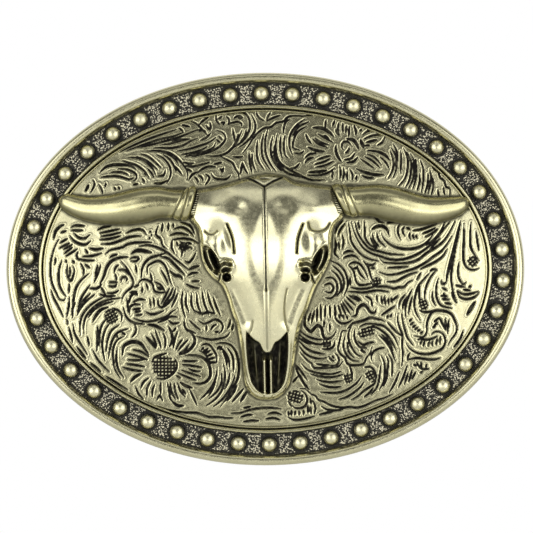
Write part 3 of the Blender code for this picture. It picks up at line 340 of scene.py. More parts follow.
         -2), (15.1, -4.1, 16.6, -4.2, 17.9, -4.3, 19.2, -4.1, 20.3, -3.9, 22.7, -4.2),
        (15.5, -3.3, 16.8, -3.6, 18.3, -3.6, 19.6, -3.3, 20.5, -3), (15.5, -1.5, 15.6, -3),
        (16.4, -0.9, 16.6, -2.2, 17, -2.8, 18.1, -2.9, 19.4, -2.6),
        (15.2, 0.7, 15.9, 1.2, 17, 1.1, 17.9, 0.2, 18.5, -0.9, 18.8, -1.7),
        (16.8, 0.7, 17, -0.2, 17.9, -1.5, 18.3, -1.8), (15.2, 0.7, 16.2, -0.4, 16.4, -1.7),
        (17.9, 1.5, 18.8, 0.4, 19.2, -0.9, 19.6, -2.2), (18.6, 1, 19.4, 0.6, 20.2, 1.2),
        (19.3, 0.2, 20.1, 0.2), (16.2, 0.2, 16.9, 0.1), (15.8, -4.9, 16.8, -5.2, 17.6, -5.8),
        (18.3, -5, 19.2, -5.4, 19.6, -6.2), (20.4, -4.8, 20.5, -6), (21.2, -5, 21.4, -6.4),
        (21.8, -4.9, 22, -6.6), (22.5, -5.3, 22.6, -6.5), (23, -5.2, 23.2, -6.2), (23.3, -5.7, 24.4, -4.8),
        (21.2, -8.5, 22.5, -7.6, 23.8, -6.7), (22.2, -9, 22.6, -8.4), (22.9, -8.8, 23.2, -8.2),
        (19.6, -6.8, 19.4, -5.8),
    ),
    "leaf at the far right": (
        (35.1, 5.7, 34.6, 2.4, 34.2, 0.2, 34.1, -2.2, 34.4, -4.1, 35.1, -6.1),
        (35.5, 1.3, 35.3, -0.4, 35.5, -1.7, 36.4, -2.8, 36.8, -2.4), (34.8, -3, 36.6, -3.3),
        (35.1, -3.9, 36.2, -4.6, 37.7, -4.5, 39.1, -4.1),
        (35.1, -4.1, 35.7, -5.2, 37, -5.5, 38.5, -5, 39.2, -4.3), (36.2, -3.8, 37.6, -3.9),
        (37.2, -3.4, 37.8, -3), (33.2, -2.4, 32.4, -2.8, 32.2, -2), (32.3, -3.4, 33.3, -3.9),
        (32.1, -4.9, 33.4, -5), (32.3, -5.5, 33.7, -5.6), (32.8, -6.2, 34.1, -6.4),
        (30.1, -0.7, 29.2, -1.7, 28.1, -3, 27.5, -4.8, 27.3, -6.5, 27.6, -8, 28.4, -9.4),
        (31.4, -0.1, 30.7, -0.9, 29.8, -2.4, 29.3, -3.9, 29.2, -5.7), (30.1, -0.4, 30.9, 0, 31.5, -0.2),
        (28.3, -3, 28.2, -4.8, 28.3, -6.1), (31.7, -1.7, 31.3, -3.5, 31.4, -5.2, 32, -6.5, 34.2, -7.2),
        (30.6, -4.1, 30.7, -5.7, 31.2, -6.7), (28.5, -0.7, 27.7, -2), (24.4, -7.2, 24.8, -5.7, 25.7, -4.6),
        (25.1, -7.3, 25.4, -6, 26.2, -4.9), (25.7, -8.8, 25.7, -6.8, 26.6, -4.3, 26.9, -3.7),
        (26.2, -8.3, 26.5, -6.6, 26.9, -5), (32.6, -4.4, 32.9, -5), (36.3, -11.2, 35.8, -12.7, 34.5, -14.4),
        (34.1, -4.2, 34.5, -5.3, 35, -6.2), (38.6, 7, 38.9, 5, 39.1, 3.4),
    ),
    "round leaf at the lower right": (
        (22.3, -9.7, 23.2, -10.7, 24.1, -11.6, 25.1, -12.3),
        (24.3, -8.1, 24.3, -9.7, 24.7, -11, 25.1, -12, 25.1, -13.8, 25.2, -15.7, 25, -17.9),
        (25, -8.1, 25.2, -9.7, 25.6, -11.2, 26, -12.5, 27.1, -14),
        (25.8, -13.6, 26.3, -14.4, 27.6, -15.3, 29.5, -15.6, 31.5, -15.1, 32.6, -14.4, 33, -13.3, 32.6,
         -12, 31.9, -11.5, 30.8, -11.6, 30.4, -12), (28.2, -7.5, 28.7, -7.8, 29.7, -7.9, 30.8, -7.6),
        (27.8, -12.9, 28.9, -12.9, 30.2, -12.9, 31.5, -12.3), (28.3, -13.8, 28.7, -13.1),
        (28.9, -14.2, 29.3, -13.1), (29.8, -14.2, 30.1, -13.2), (30.6, -14.1, 30.6, -13.2),
        (31.3, -14, 31.5, -12.7), (32, -13.8, 32.1, -12.3), (26.3, -9.6, 26.9, -9.1),
        (26.5, -10.2, 27.2, -9.8), (26.9, -10.7, 27.6, -10.3), (27.3, -11.1, 28, -10.7),
        (27.8, -11.4, 28.4, -11.1), (28.3, -11.8, 28.9, -11.5),
        (31.3, -9.2, 31.9, -9, 32.3, -9.7, 33, -11.2), (33.7, -9.2, 33.5, -10.5, 33.4, -11.8),
        (33, -9, 33, -11.2), (30.9, -9.7, 31.6, -9.2), (30.9, -10.3, 31.7, -9.8),
        (30.6, -10.8, 31.3, -10.3), (26, -16.8, 26.3, -15.7, 26.5, -15.4),
        (26.2, -16.6, 27.6, -16.3, 29.3, -16.5, 30.8, -16.6, 32.1, -16.3),
        (27.7, -17, 28.2, -17.9, 28.7, -18.3, 30, -18.3), (28.5, -17, 28.7, -18),
        (29.6, -17.4, 29.4, -18.3), (27.1, -17.5, 27.7, -17.7), (28.3, -19.1, 28.9, -18.8),
        (22.7, -22.7, 23.7, -21, 24.6, -18.8), (24.4, -21.7, 25.2, -20.1, 26, -17.7),
        (25.5, -21.2, 26.2, -19), (26.3, -20.8, 26.9, -18.5), (26.9, -20.2, 27.6, -18.8),
    ),
    "big leaf at the lower right": (
        (15, -11.3, 14.1, -11.3, 13.8, -12.3, 13.5, -13.7, 13.3, -14.7, 13.8, -15.6, 14.6, -16.3, 15,
         -17.3, 16.8, -17.6, 18.1, -17.3, 18.5, -16.3, 19.2, -15.4, 19.5, -14.3),
        (15.9, -10.2, 15.3, -11.5, 15.3, -13, 15.9, -14.5, 17, -15.8, 17.9, -16),
        (14.6, -12.3, 14.3, -13.9, 14.8, -15.6, 15.9, -16.7, 17.2, -16.9),
        (15, -13.4, 15.3, -15.2, 16.3, -16.3), (16.4, -11, 16.3, -12.4, 17, -14, 18, -14.9),
        (17, -13.2, 17.9, -13.9, 19, -13.5, 20, -13.4), (17.4, -14.9, 18.4, -15.3),
        (17.4, -14.2, 18.7, -14.5),
        (17.2, -10.6, 18.5, -10, 20, -10.1, 21.6, -10.4, 22.7, -11.3, 23.7, -12.6, 24.4, -14.2),
        (18.5, -10.7, 20, -10.6, 21.3, -11.3, 22.7, -12.6, 23.5, -13.9, 24, -15),
        (20.7, -12.1, 21.8, -13, 22.9, -14.5, 23.5, -16, 23.8, -16.9),
        (21.2, -11.9, 22.6, -13.3, 23.4, -14.9),
        (21.9, -14.4, 20.7, -14.6, 19.8, -15.2, 19.4, -16, 19.6, -16.9),
        (15.3, -17.6, 15.7, -18.4, 15.9, -19.7, 15.9, -20.6),
        (18.1, -18, 19.2, -17.9, 20, -18.7, 20.2, -20.2, 19.4, -20.8),
        (21.2, -17.5, 21, -19.2, 20.4, -21.8, 19.3, -23.1),
        (21.2, -15.8, 21.8, -17.1, 21.9, -18.9, 21.7, -20.6, 20.9, -22.2),
        (22.2, -16, 22.5, -16.7, 22.4, -18.4, 22.2, -20.2, 21.7, -21.5),
        (22.5, -15.6, 23.1, -16.5, 23.3, -17.8, 23.2, -19.8),
    ),
    "bands right of the jaw": (
        (6.1, -11.9, 7.2, -12.8, 8.5, -13.5, 10.3, -13.8, 11.6, -13.7),
        (6.3, -11.3, 7.7, -12.3, 9.2, -12.8, 10.5, -12.9), (6.1, -12.6, 7.2, -13.3, 8.3, -13.8),
        (6.2, -14.1, 7.2, -15.4, 8.7, -16.2, 10.3, -16.4, 11.3, -16.2),
        (10.3, -14.6, 11.3, -14.7, 12.4, -14.3, 12.8, -13), (11.6, -15.9, 12, -16.6, 12.7, -16.9),
        (12.2, -15.8, 12.6, -16.4), (12.7, -15.4, 13.3, -16, 13.5, -16.9, 13.1, -17.6, 11.6, -17.6),
        (9.2, -17.3, 10.7, -17.6, 12, -17.6),
        (6.3, -15.2, 7, -16, 7.9, -16.9, 8.5, -17.3, 8.7, -17.9, 10.7, -18.1, 12.4, -18, 13.5, -17.8, 14.2,
         -16.9), (6.6, -17.3, 7.7, -18.4, 9, -18.9, 10.7, -19.2, 12.4, -19.2, 14, -18.7),
        (8.2, -19.2, 9.6, -19.6, 11.3, -19.8, 12.9, -19.7, 14.2, -19.3),
        (9.3, -20.2, 10.7, -20.6, 12.4, -20.7, 14.2, -20.4),
        (9.8, -21, 11.1, -21.5, 12.7, -21.7, 14, -21.5),
        (10, -22.5, 12, -22.7, 14, -22.5, 15.7, -21.7, 17, -20.6, 17.7, -19.5),
        (13.4, -23.9, 14.8, -23.5, 16.3, -22.6, 17.7, -21.3, 18.1, -20.6),
        (15.7, -24, 17, -23.3, 18.1, -22.3, 19, -21.7, 20, -21, 20.4, -19.3),
        (18.1, -23.5, 19.2, -22.6, 19.8, -21.7),
        (5.4, -17.3, 5.9, -18.9, 6.6, -20.2, 7.4, -21.5, 8.1, -22.1), (5.7, -17.6, 6.8, -19.1, 7.7, -20.4),
        (5, -20.8, 5.9, -19.7), (6.4, -19.4, 7, -20.8, 7.8, -21.6),
    ),
}

# Broad strokes, with their width in millimetres first
BROAD = {
    "crescents at the top": (
        (0.7, -30.4, 17.6, -29.4, 18.6, -27.8, 19.1, -26, 19.1, -24.6, 18.9, -23.6, 18.2),
        (0.7, -32.3, 15.5, -33, 14.2), (0.7, -17.2, 23.5, -16, 23.6, -14.2, 23.8),
        (0.7, 13, 22.8, 12.9, 22, 13.4, 20.4, 14, 19.6),
        (0.8, 14.8, 23.9, 16.2, 23.6, 16.8, 22.8, 17.1, 21.9), (0.6, 14.8, 19.5, 16.2, 19.7, 17, 20.6),
        (0.8, 8.6, 25.9, 10.4, 25.8, 11.8, 25, 12.6, 24.2), (0.6, 7.4, 24.8, 7.8, 23.8, 8.5, 22.9),
        (0.7, 7.7, 22.4, 9, 21.8, 11, 21.5), (0.6, 7.2, 19.3, 7.8, 20.1, 9, 20.5),
        (0.7, 7.8, 17.7, 9.6, 17.8, 11.4, 18.1), (0.7, 16.6, 18.4, 18, 17.8, 20, 17.3, 21.8, 17.3),
        (0.8, 17.4, 23.8, 17.8, 22.8, 18.1, 22.1), (0.6, 18.4, 23.2, 20.6, 23.7),
        (0.7, 20.4, 21.5, 21.8, 21, 22.8, 20), (0.6, 16.2, 26.4, 16.6, 25.4, 16.6, 24.4),
    ),
    "crescents at the left": (
        (0.7, -38.8, 5.4, -38.4, 7, -37.6, 7.8, -36.8, 8.2),
        (0.6, -37.2, 1.7, -37.7, 0.4, -37.9, -1.4, -37.7, -3.1, -37, -4.4, -36.4, -5.1),
        (0.6, -32.2, -0.8, -33.5, -1.8, -34.6, -3.3, -35.1, -5.3, -35.3, -7.5, -35.4, -9),
        (0.6, -35.9, 6.2, -35.3, 5.4, -34.2, 4.7, -32.9, 4.5, -31.9, 5.2),
        (0.6, -32.3, 3.9, -31.2, 3.6, -29.6, 3.8),
        (0.6, -30.1, 4.6, -28.1, 4.7, -26.6, 5.2, -24.8, 5.9, -22.5, 6.1),
        (0.7, -30.4, -2.9, -29.6, -1.4, -29, 0.4, -28.1, 1.5, -27, 2, -25.7, 2.2, -25, 2.2),
        (0.6, -30.1, -3.3, -29.6, -4.2, -29.2, -4.8),
        (0.6, -22.7, -1.8, -22.6, -0.1, -22, 1.2, -20.9, 2.1, -19.6, 2.5, -17.9, 3),
        (0.8, -24.6, 2.8, -23.5, 3.4, -22, 3.3, -20.7, 3),
        (0.7, -19.2, 2.3, -17.9, 2, -16.6, 0.8, -15.5, -0.3, -14.6, -1.2),
        (0.7, -17.5, -0.3, -16.4, -1.2, -15.5, -1.3, -15.1, -2), (0.7, -14, -0.1, -12.9, 0.4, -12, 0.6),
        (0.7, -19.8, -3.3, -18.9, -3.8), (0.7, -24.6, -4.6, -23.9, -4.3, -23.3, -4.8),
        (0.7, -28.7, -7, -30, -7.4, -31, -8.5, -31.7, -9.8),
        (0.6, -34.6, -14.2, -33.7, -15.4, -32.8, -16.5),
    ),
    "petals of the lower flower": (
        (0.8, -26.2, -15.9, -25.9, -14.1, -25.2, -13.6, -24.1, -13.3, -22.8, -13.7, -22, -14.8, -21.3, -15.7),
        (0.6, -26.2, -18, -24.3, -18.5, -22.3, -18.7), (0.7, -24.8, -20.8, -23.9, -19.8, -22.6, -19.1),
        (0.7, -17.2, -24.2, -15.9, -25.1, -14.8, -25), (0.7, -15.7, -20.7, -14.6, -21.4, -13.3, -21.8),
        (0.7, -14.8, -15.8, -13, -15.8, -11.7, -16.1, -10.7, -16.9, -10.1, -18.3, -10.2, -19.9, -10.9,
         -20.7, -12.2, -21, -13.5, -20.8),
        (0.7, -14.1, -11.4, -13.3, -12, -12.9, -13.3, -13.5, -14.4, -14.6, -15.3, -15.9, -15.7),
        (0.7, -21.7, -10.2, -20.4, -10.3, -19.3, -10.8, -18.4, -11.3),
        (0.8, -21.9, -12.4, -20.8, -13.5, -20, -14.6),
        (0.7, -17.8, -10.4, -17.1, -12, -17, -13, -17.6, -14.3),
        (0.6, -9.3, -13.7, -7.8, -13.5, -6.5, -13.8, -5.5, -14.9, -5, -16.4, -4.8, -18.1, -5, -19.9, -5.9,
         -21.8, -7, -23.6, -8.3, -25.3), (0.6, -3.9, -21.8, -5, -23.1, -6.2, -24.5),
        (0.7, -3.3, -22.3, -4.1, -23.6, -4.6, -24.4),
    ),
    "bold lines at the right": (
        (0.6, 21.2, 6.7, 21.6, 5.7, 22.7, 4.6, 24.2, 3.9, 25.9, 3.7, 27.7, 3.9, 29.2, 4.6, 30.3, 5.7, 30.9,
         6.7),
        (0.7, 19.4, 7.2, 20.3, 7.8, 21.4, 7.9, 22.2, 7.4, 22.7, 6.1),
        (0.7, 15.7, -8.7, 16.6, -8.5, 17, -7.2, 17.9, -6.5, 18.8, -7.2, 19.2, -7.9, 20.1, -8, 20.3, -7.2),
        (0.8, 35.8, 8.9, 35.1, 5.7, 34.4, 2.8, 33.8, 0.7, 33.3, -1.3, 33.2, -2.4),
        (0.6, 36.4, 8.5, 36.4, 5.7, 36.3, 2.8, 36.4, 1.3, 37, 0.2, 38.1, -0.2, 39.2, 0.2),
        (0.6, 37.7, 8.7, 37.6, 6.1, 37.7, 3.9, 38.5, 2.4, 39.2, 1.5),
        (0.8, 36.9, -8.5, 37.7, -7.2, 38.5, -5.9),
        (0.7, 7.2, -8, 7.2, -9.3, 7.2, -10.4, 7.7, -11, 8.3, -11.5, 9, -10.8, 9.6, -10.3, 10.3, -10.8,
         10.5, -11.9, 10.9, -12.7, 11.8, -12.7, 12.7, -11.9, 12.9, -11.3),
        (0.6, 6.2, -13.2, 7.2, -14.3, 8.3, -15, 9.8, -15.4, 11.1, -15.6),
        (0.6, 15, -11, 15.9, -10, 17.2, -9.6, 18.5, -9.2, 19, -8.9, 20.3, -9.1, 21.3, -9.3, 22, -9.7),
        (0.6, 33.4, -14.1, 34.1, -12.9, 35, -11.6, 35.1, -10.5, 34.7, -9.4, 34.1, -8.3, 33.2, -7.8, 31.9,
         -7.6, 30.8, -7.7, 30, -8.8, 29.6, -10.1, 29.5, -11.8, 28.9, -12.5, 28, -12.4, 27.1, -12.2),
    ),
}

# Patches of crossed lines: middle x and z, half width, half height, spacing and turn in degrees
CROSSHATCH = (
    (-18.5, -17.9, 2.2, 1.9, 0.62, 0), (-28.2, -8.7, 1.2, 1.3, 0.55, 30), (18.5, -11.6, 1.6, 0.8, 0.6, 15),
    (11.2, -13.6, 0.8, 0.8, 0.6, 5), (5.5, -23.4, 1.5, 1.1, 0.6, -15), (15.1, -20, 0.7, 0.9, 0.55, 15),
    (20.4, -2.3, 0.8, 0.7, 0.55, 10), (28.9, -6.5, 0.8, 1, 0.6, 20), (38, 1.4, 0.9, 0.9, 0.6, 40),
    (19.2, -19.5, 0.8, 0.9, 0.6, 30), (-22, 17.4, 0.2, 0.2, 0.5, 0), (-14.9, 4, 0.9, 0.8, 0.6, 20),
)


# ---------------------------------------------------------------- materials


def new_material(name):
    """A material, its node tree and its shader."""
    made = bpy.data.materials.new(name)
    made.use_nodes = True
    return made, made.node_tree, made.node_tree.nodes["Principled BSDF"]


def set_inputs(node, inputs):
    """Sets a node's inputs to values, or links them to other nodes' sockets."""
    for key, value in inputs.items():
        if isinstance(value, bpy.types.NodeSocket):
            node.id_data.links.new(value, node.inputs[key])
        else:
            node.inputs[key].default_value = value


def add_node(tree, kind, inputs=None, **settings):
    node = tree.nodes.new("ShaderNode" + kind)
    for key, value in settings.items():
        setattr(node, key, value)
    set_inputs(node, inputs or {})
    return node


def noise(tree, coords, scale, detail):
    return add_node(tree, "TexNoise", {"Vector": coords, "Scale": scale, "Detail": detail}).outputs["Fac"]


def attribute(tree, name, output="Fac"):
    return add_node(tree, "Attribute", attribute_name=name).outputs[output]


def math_node(tree, operation, *values, clamp=False):
    made = add_node(tree, "Math", dict(enumerate(values)), operation=operation, use_clamp=clamp)
    return made.outputs[0]


def map_range(tree, value, start, end, low, high):
    inputs = {"Value": value, "From Min": start, "From Max": end, "To Min": low, "To Max": high}
    return add_node(tree, "MapRange", inputs).outputs["Result"]


def mix(tree, kind, share, first, second):
    """Between two colours, kind RGBA, or two numbers, kind FLOAT."""
    at, out = (6, 2) if kind == "RGBA" else (2, 0)
    return add_node(tree, "Mix", {0: share, at: first, at + 1: second}, data_type=kind).outputs[out]


def bumped(tree, height, strength, distance):
    inputs = {"Height": height, "Strength": strength, "Distance": distance}
    return add_node(tree, "Bump", inputs).outputs["Normal"]


# Black for the patina in cuts and hollows, used as well for painted shade
PATINA_AND_SHADE_BLACK = (0.014, 0.013, 0.011, 1)
PATINA_ROUGHNESS = 0.62
GRAIN_DEPTH, STIPPLE_DEPTH = 0.00005, 0.00012  # metres
CELLS_PER_METRE, SPECKS_PER_METRE = 3200, 3000


def metal(name, light, dark, roughness, grain=900.0, bump=0.12, mottle=220.0, brush=1.0, flow=False,
          patina=False):
    """Antique brass: two tones in soft mottling, a fine grain, and black where the attribute marks patina and
    painted shade.

    brush stretches the noise along X, and flow lays the grain along the piece's own flow attribute.
    """
    made, tree, shader = new_material(name)
    place = add_node(tree, "TexCoord").outputs["Object"]
    coords = add_node(tree, "Mapping", {"Vector": place, "Scale": (1 / brush, 1, 1)}).outputs["Vector"]
    soft = noise(tree, coords, mottle, 4)
    if flow:
        coords = attribute(tree, "flow", "Vector")
    fine = noise(tree, coords, 1.0 if flow else grain, 6)
    colour = mix(tree, "RGBA", map_range(tree, soft, 0.3, 0.7, 0.0, 1.0), (*dark, 1), (*light, 1))
    rough = map_range(tree, fine, 0.25, 0.75, roughness - 0.06, roughness + 0.08)
    if patina:
        black = attribute(tree, "patina")
        blotch = math_node(tree, "MULTIPLY_ADD", fine, 0.5, -0.25)
        amount = math_node(tree, "ADD", black, math_node(tree, "MULTIPLY", black, blotch), clamp=True)
        colour = mix(tree, "RGBA", amount, colour, PATINA_AND_SHADE_BLACK)
        rough = mix(tree, "FLOAT", amount, rough, PATINA_ROUGHNESS)
    normal = bumped(tree, fine, bump, GRAIN_DEPTH)
    set_inputs(shader, {"Base Color": colour, "Roughness": rough, "Metallic": 1, "Normal": normal})
    return made


def stippled(name):
    """The band's ground: black between many small bright grains."""
    made, tree, shader = new_material(name)
    coords = add_node(tree, "TexCoord").outputs["Object"]
    cells = add_node(tree, "TexVoronoi", {"Vector": coords, "Scale": CELLS_PER_METRE}).outputs["Distance"]
    grain = math_node(tree, "SUBTRACT", noise(tree, coords, SPECKS_PER_METRE, 3), cells)
    # the attribute blackens the grains round the beads, and as painted shade along the band's edges
    lowered = math_node(tree, "SUBTRACT", grain, attribute(tree, "patina"))
    ramp = add_node(tree, "ValToRGB", {"Fac": lowered})
    ground, speck = ramp.color_ramp.elements
    ground.position, ground.color = 0.0, (0.035, 0.034, 0.029, 1)
    speck.position, speck.color = 0.2, (0.66, 0.62, 0.46, 1)
    rough = map_range(tree, lowered, 0.0, 1.0, 0.55, 0.3)
    normal = bumped(tree, grain, 0.9, STIPPLE_DEPTH)
    colour = ramp.outputs["Color"]
    set_inputs(shader, {"Base Color": colour, "Roughness": rough, "Metallic": 0.9, "Normal": normal})
    return made


# ---------------------------------------------------------------- meshes


def build(name, points, faces, material, nodes, body="buckle", slot=None, **attributes):
    """A smooth mesh from points (x, height, z) in millimetres, standing for these CAD nodes."""
    mesh = bpy.data.meshes.new(name)
    placed = np.stack([points[:, 0], -points[:, 1], points[:, 2]], axis=1) * MM
    mesh.vertices.add(len(points))
    mesh.vertices.foreach_set("co", placed.ravel())
    mesh.loops.add(faces.size)
    mesh.loops.foreach_set("vertex_index", faces.ravel())
    mesh.polygons.add(len(faces))
    mesh.polygons.foreach_set("loop_start", np.arange(len(faces)) * faces.shape[1])
    mesh.update(calc_edges=True)
    mesh.shade_smooth()
    for key, values in attributes.items():
        if values.ndim == 1:
            mesh.attributes.new(key, "FLOAT", "POINT").data.foreach_set("value", values.astype(np.float32))
        else:
            made = mesh.attributes.new(key, "FLOAT_VECTOR", "POINT")
            made.data.foreach_set("vector", values.astype(np.float32).ravel())
    return finish_piece(bpy.data.objects.new(name, mesh), material, nodes, body)


def finish_piece(made, material, nodes, body="buckle"):
    """Puts a piece in the scene on its body, with its material, and hides the CAD nodes that it stands for.
    """
    if not made.users_collection:
        bpy.context.scene.collection.objects.link(made)
    made.data.materials.clear()
    made.data.materials.append(material)
    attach(made, body)
    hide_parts(*nodes)
    return made


def grid_faces(rows, columns, closed_rows=False, closed_columns=False):
    """Quads of a grid of points in row order."""
    index = np.arange(rows * columns).reshape(rows, columns)
    if closed_rows:
        index = np.vstack([index, index[:1]])
    if closed_columns:
        index = np.hstack([index, index[:, :1]])
    quads = np.stack([index[:-1, :-1], index[:-1, 1:], index[1:, 1:], index[1:, :-1]], axis=-1)
    return quads.reshape(-1, 4)


def sweep(profile, segments):
    """Points of an (inset, height) profile carried round the oval, with (along, across, 0) as its flow."""
    profile = np.array(profile, float)
    turns = np.arange(segments) * 2 * math.pi / segments
    inset = profile[None, :, 0]
    x = (HALF_X - inset) * np.cos(turns)[:, None]
    z = (HALF_Z - inset) * np.sin(turns)[:, None]
    height = np.broadcast_to(profile[None, :, 1], x.shape)
    points = np.stack([x, height, z], axis=-1).reshape(-1, 3)
    across = np.concatenate([[0], np.cumsum(np.hypot(*np.diff(profile, axis=0).T))])
    along = np.concatenate([[0], np.cumsum(np.hypot(np.diff(x[:, 0]), np.diff(z[:, 0])))])
    flow = np.stack(np.broadcast_arrays(along[:, None], across[None], 0.0), axis=-1).reshape(-1, 3)
    return points, flow


def lathe(profile, steps, middle):
    """Points of a (radius, height) profile turned about a line through middle, square to the back plate."""
    profile = np.array(profile, float)
    turns = np.arange(steps) * 2 * math.pi / steps
    x = middle[0] + profile[None, :, 0] * np.cos(turns)[:, None]
    z = middle[1] + profile[None, :, 0] * np.sin(turns)[:, None]
    height = np.broadcast_to(profile[None, :, 1], x.shape)
    return np.stack([x, height, z], axis=-1).reshape(-1, 3)


def arc(middle, radius, start, end, count):
    """Points along a circle from one angle to another, in degrees."""
    turns = np.radians(np.linspace(start, end, count))
    return [(middle[0] + radius * math.cos(t), middle[1] + radius * math.sin(t)) for t in turns]


def curve(points, count=None, step=0.35):
    """A smooth line through control points; the columns after the first two follow along."""
    points = np.array(points, float)
    if len(points) == 2:
        middle = points.mean(0)
        points = np.array([points[0], middle, points[1]])
    lengths = np.linalg.norm(np.diff(points[:, :2], axis=0), axis=1)
    knots = np.concatenate([[0], np.cumsum(lengths)])
    count = count or max(4, int(knots[-1] / step) + 1)
    at = np.linspace(0, knots[-1], count)
    slopes = np.gradient(points, knots, axis=0)
    place = np.clip(np.searchsorted(knots, at, side="right") - 1, 0, len(knots) - 2)
    width = (knots[place + 1] - knots[place])[:, None]
    t = (at[:, None] - knots[place][:, None]) / width
    low = (2 * t**3 - 3 * t**2 + 1) * points[place] + (t**3 - 2 * t**2 + t) * width * slopes[place]
    high = (3 * t**2 - 2 * t**3) * points[place + 1] + (t**3 - t**2) * width * slopes[place + 1]
    return low + high


def distance_to(x, z, line):
    """How far points are from a broken line, and the share of its length where they are nearest."""
    best = np.full(x.shape, 1e9)
    share = np.zeros(x.shape)
    for i in range(len(line) - 1):
        (ax, az), (bx, bz) = line[i][:2], line[i + 1][:2]
        rx, rz = bx - ax, bz - az
        t = np.clip(((x - ax) * rx + (z - az) * rz) / (rx * rx + rz * rz + 1e-12), 0, 1)
        d = np.hypot(x - ax - t * rx, z - az - t * rz)
        nearer = d < best
        best = np.where(nearer, d, best)
        share = np.where(nearer, (i + t) / (len(line) - 1), share)
    return best, share


def smoothstep(low, high, value):
    """A soft step from 0 at low to 1 at high; low may be the larger."""
    t = np.clip((value - low) / (high - low), 0, 1)
    return t * t * (3 - 2 * t)


def field_height(x, z):
    """The domed field's surface."""
    return FIELD_EDGE + FIELD_CROWN * (1 - (x / FIELD_X) ** 2 - (z / FIELD_Z) ** 2)


# ---------------------------------------------------------------- layers of the oval

LIGHT = (0.64, 0.61, 0.40)
MID = (0.54, 0.51, 0.31)
DEEP = (0.42, 0.395, 0.22)

rim_metal = metal("rim_brass", LIGHT, (0.58, 0.55, 0.345), 0.27, flow=True, bump=0.1)
skull_metal = metal("skull_brass", (0.72, 0.68, 0.43), LIGHT, 0.24, grain=1500, bump=0.05, patina=True)
horn_metal = metal("horn_brass", (0.57, 0.535, 0.30), DEEP, 0.24, grain=1500, bump=0.06, patina=True)
bead_metal = metal("bead_brass", (0.68, 0.65, 0.44), LIGHT, 0.36, bump=0.06, patina=True)
field_metal = metal("field_brass", (0.60, 0.57, 0.36), MID, 0.22, grain=1400, bump=0.06, patina=True)
back_metal = metal("back_brass", (0.56, 0.53, 0.34), MID, 0.36, grain=1800, bump=1.0, mottle=700, brush=30)
wire_metal = metal("wire_brass", LIGHT, MID, 0.26, grain=1200, bump=0.15)


def rim():
    """The half-round frame, with its brushing carried round the oval."""
    segments = 540
    profile = [(1.9, 1.55), (0.06, 1.55), (0.0, 1.7), (0.0, 2.9)]
    half, turns = 0.875, np.linspace(0.1, 3.04, 16)
    profile += [(half - half * math.cos(t), 2.95 + 1.25 * math.sin(t) ** 0.9) for t in turns]
    profile += [(1.76, 2.8), (1.9, 2.1)]
    points, flow = sweep(profile, segments)
    faces = grid_faces(segments, len(profile), closed_rows=True, closed_columns=True)
    build("rim_ring", points, faces, rim_metal, ["outer_rim"], flow=flow * (0.8, 7.0, 0))


def bead_line(count):
    """Places spaced evenly along the oval that the beads stand on."""
    half_x, half_z = HALF_X - BEAD_INSET, HALF_Z - BEAD_INSET
    turns = np.linspace(0, 2 * math.pi, 8001)
    xs, zs = half_x * np.cos(turns), half_z * np.sin(turns)
    along = np.concatenate([[0], np.cumsum(np.hypot(np.diff(xs), np.diff(zs)))])
    wanted = (FIRST_BEAD + along[-1] * np.arange(count) / count) % along[-1]
    return np.stack([np.interp(wanted, along, xs), np.interp(wanted, along, zs)], axis=1)


def band():
    """The sunken ground under the beads, black round each of them, with painted shade at both edges."""
    segments = 1500
    insets = np.linspace(1.7, 6.1, 34)
    profile = [(1.7, 1.6)] + [(i, BAND_TOP) for i in insets] + [(6.1, 1.6)]
    points, _ = sweep(profile, segments)
    x, z = points[:, 0], points[:, 2]
    dark = np.zeros(len(points))
    for bx, bz in bead_line(BEAD_COUNT):
        near = np.hypot(x - bx, z - bz)
        dark = np.maximum(dark, 0.9 * smoothstep(2.0, 1.5, near))
    inset = np.tile([p[0] for p in profile], segments)
    # painted shade along both edges of the band, by the rim and by the border ring
    dark = np.maximum(dark, 0.5 * smoothstep(2.25, 1.85, inset))
    dark = np.maximum(dark, 0.5 * smoothstep(5.5, 5.9, inset))
    faces = grid_faces(segments, len(profile), closed_rows=True, closed_columns=True)
    build("stippled_band", points, faces, stippled("stippled_brass"), ["channel_band"], patina=dark)


def bead_pieces():
    """A domed bead on each of the CAD's bead nodes."""
    radius, height, rise, seat, steps = 1.35, 1.75, 1.15, BAND_TOP, 28
    turns = np.linspace(0, math.pi / 2, 11)[:-1]
    dome = [(radius * math.cos(t), height - rise + rise * math.sin(t)) for t in turns]
    profile = [(0.02, 0), (radius + 0.1, 0), (radius + 0.02, 0.1)] + dome + [(0.01, height)]
    profile = [(r, seat + h) for r, h in profile]
    faces = grid_faces(steps, len(profile), closed_rows=True)
    dark = np.tile(smoothstep(seat + 0.5, seat + 0.15, np.array([h for _, h in profile])), steps)
    for number, middle in enumerate(bead_line(BEAD_COUNT), 1):
        points = lathe(profile, steps, middle)
        node = f"bead_{number:02d}"
        build("dome_" + node, points, faces, bead_metal, [node], slot="bead", patina=dark)


def border():
    """The ring between band and field: a wide ridge, a groove and a narrow ridge."""
    segments = 720
    profile = [(7.32, 1.55), (5.86, 1.55), (5.9, 3.2)]
    profile += [(6.22 - 0.32 * math.cos(t), 3.5 + 0.4 * math.sin(t)) for t in np.linspace(0, math.pi, 9)]
    profile += [(6.58, 3.25), (6.68, 3.1), (6.78, 3.25)]
    profile += [(6.96 - 0.15 * math.cos(t), 3.45 + 0.25 * math.sin(t)) for t in np.linspace(0, math.pi, 7)]
    profile += [(7.15, 3.2), (7.22, 3.12), (7.32, 3.1)]
    points, _ = sweep(profile, segments)
    dark = smoothstep(3.46, 3.3, points[:, 1])
    faces = grid_faces(segments, len(profile), closed_rows=True, closed_columns=True)
    build("border_ridges", points, faces, field_metal, ["border_ring"], patina=dark)


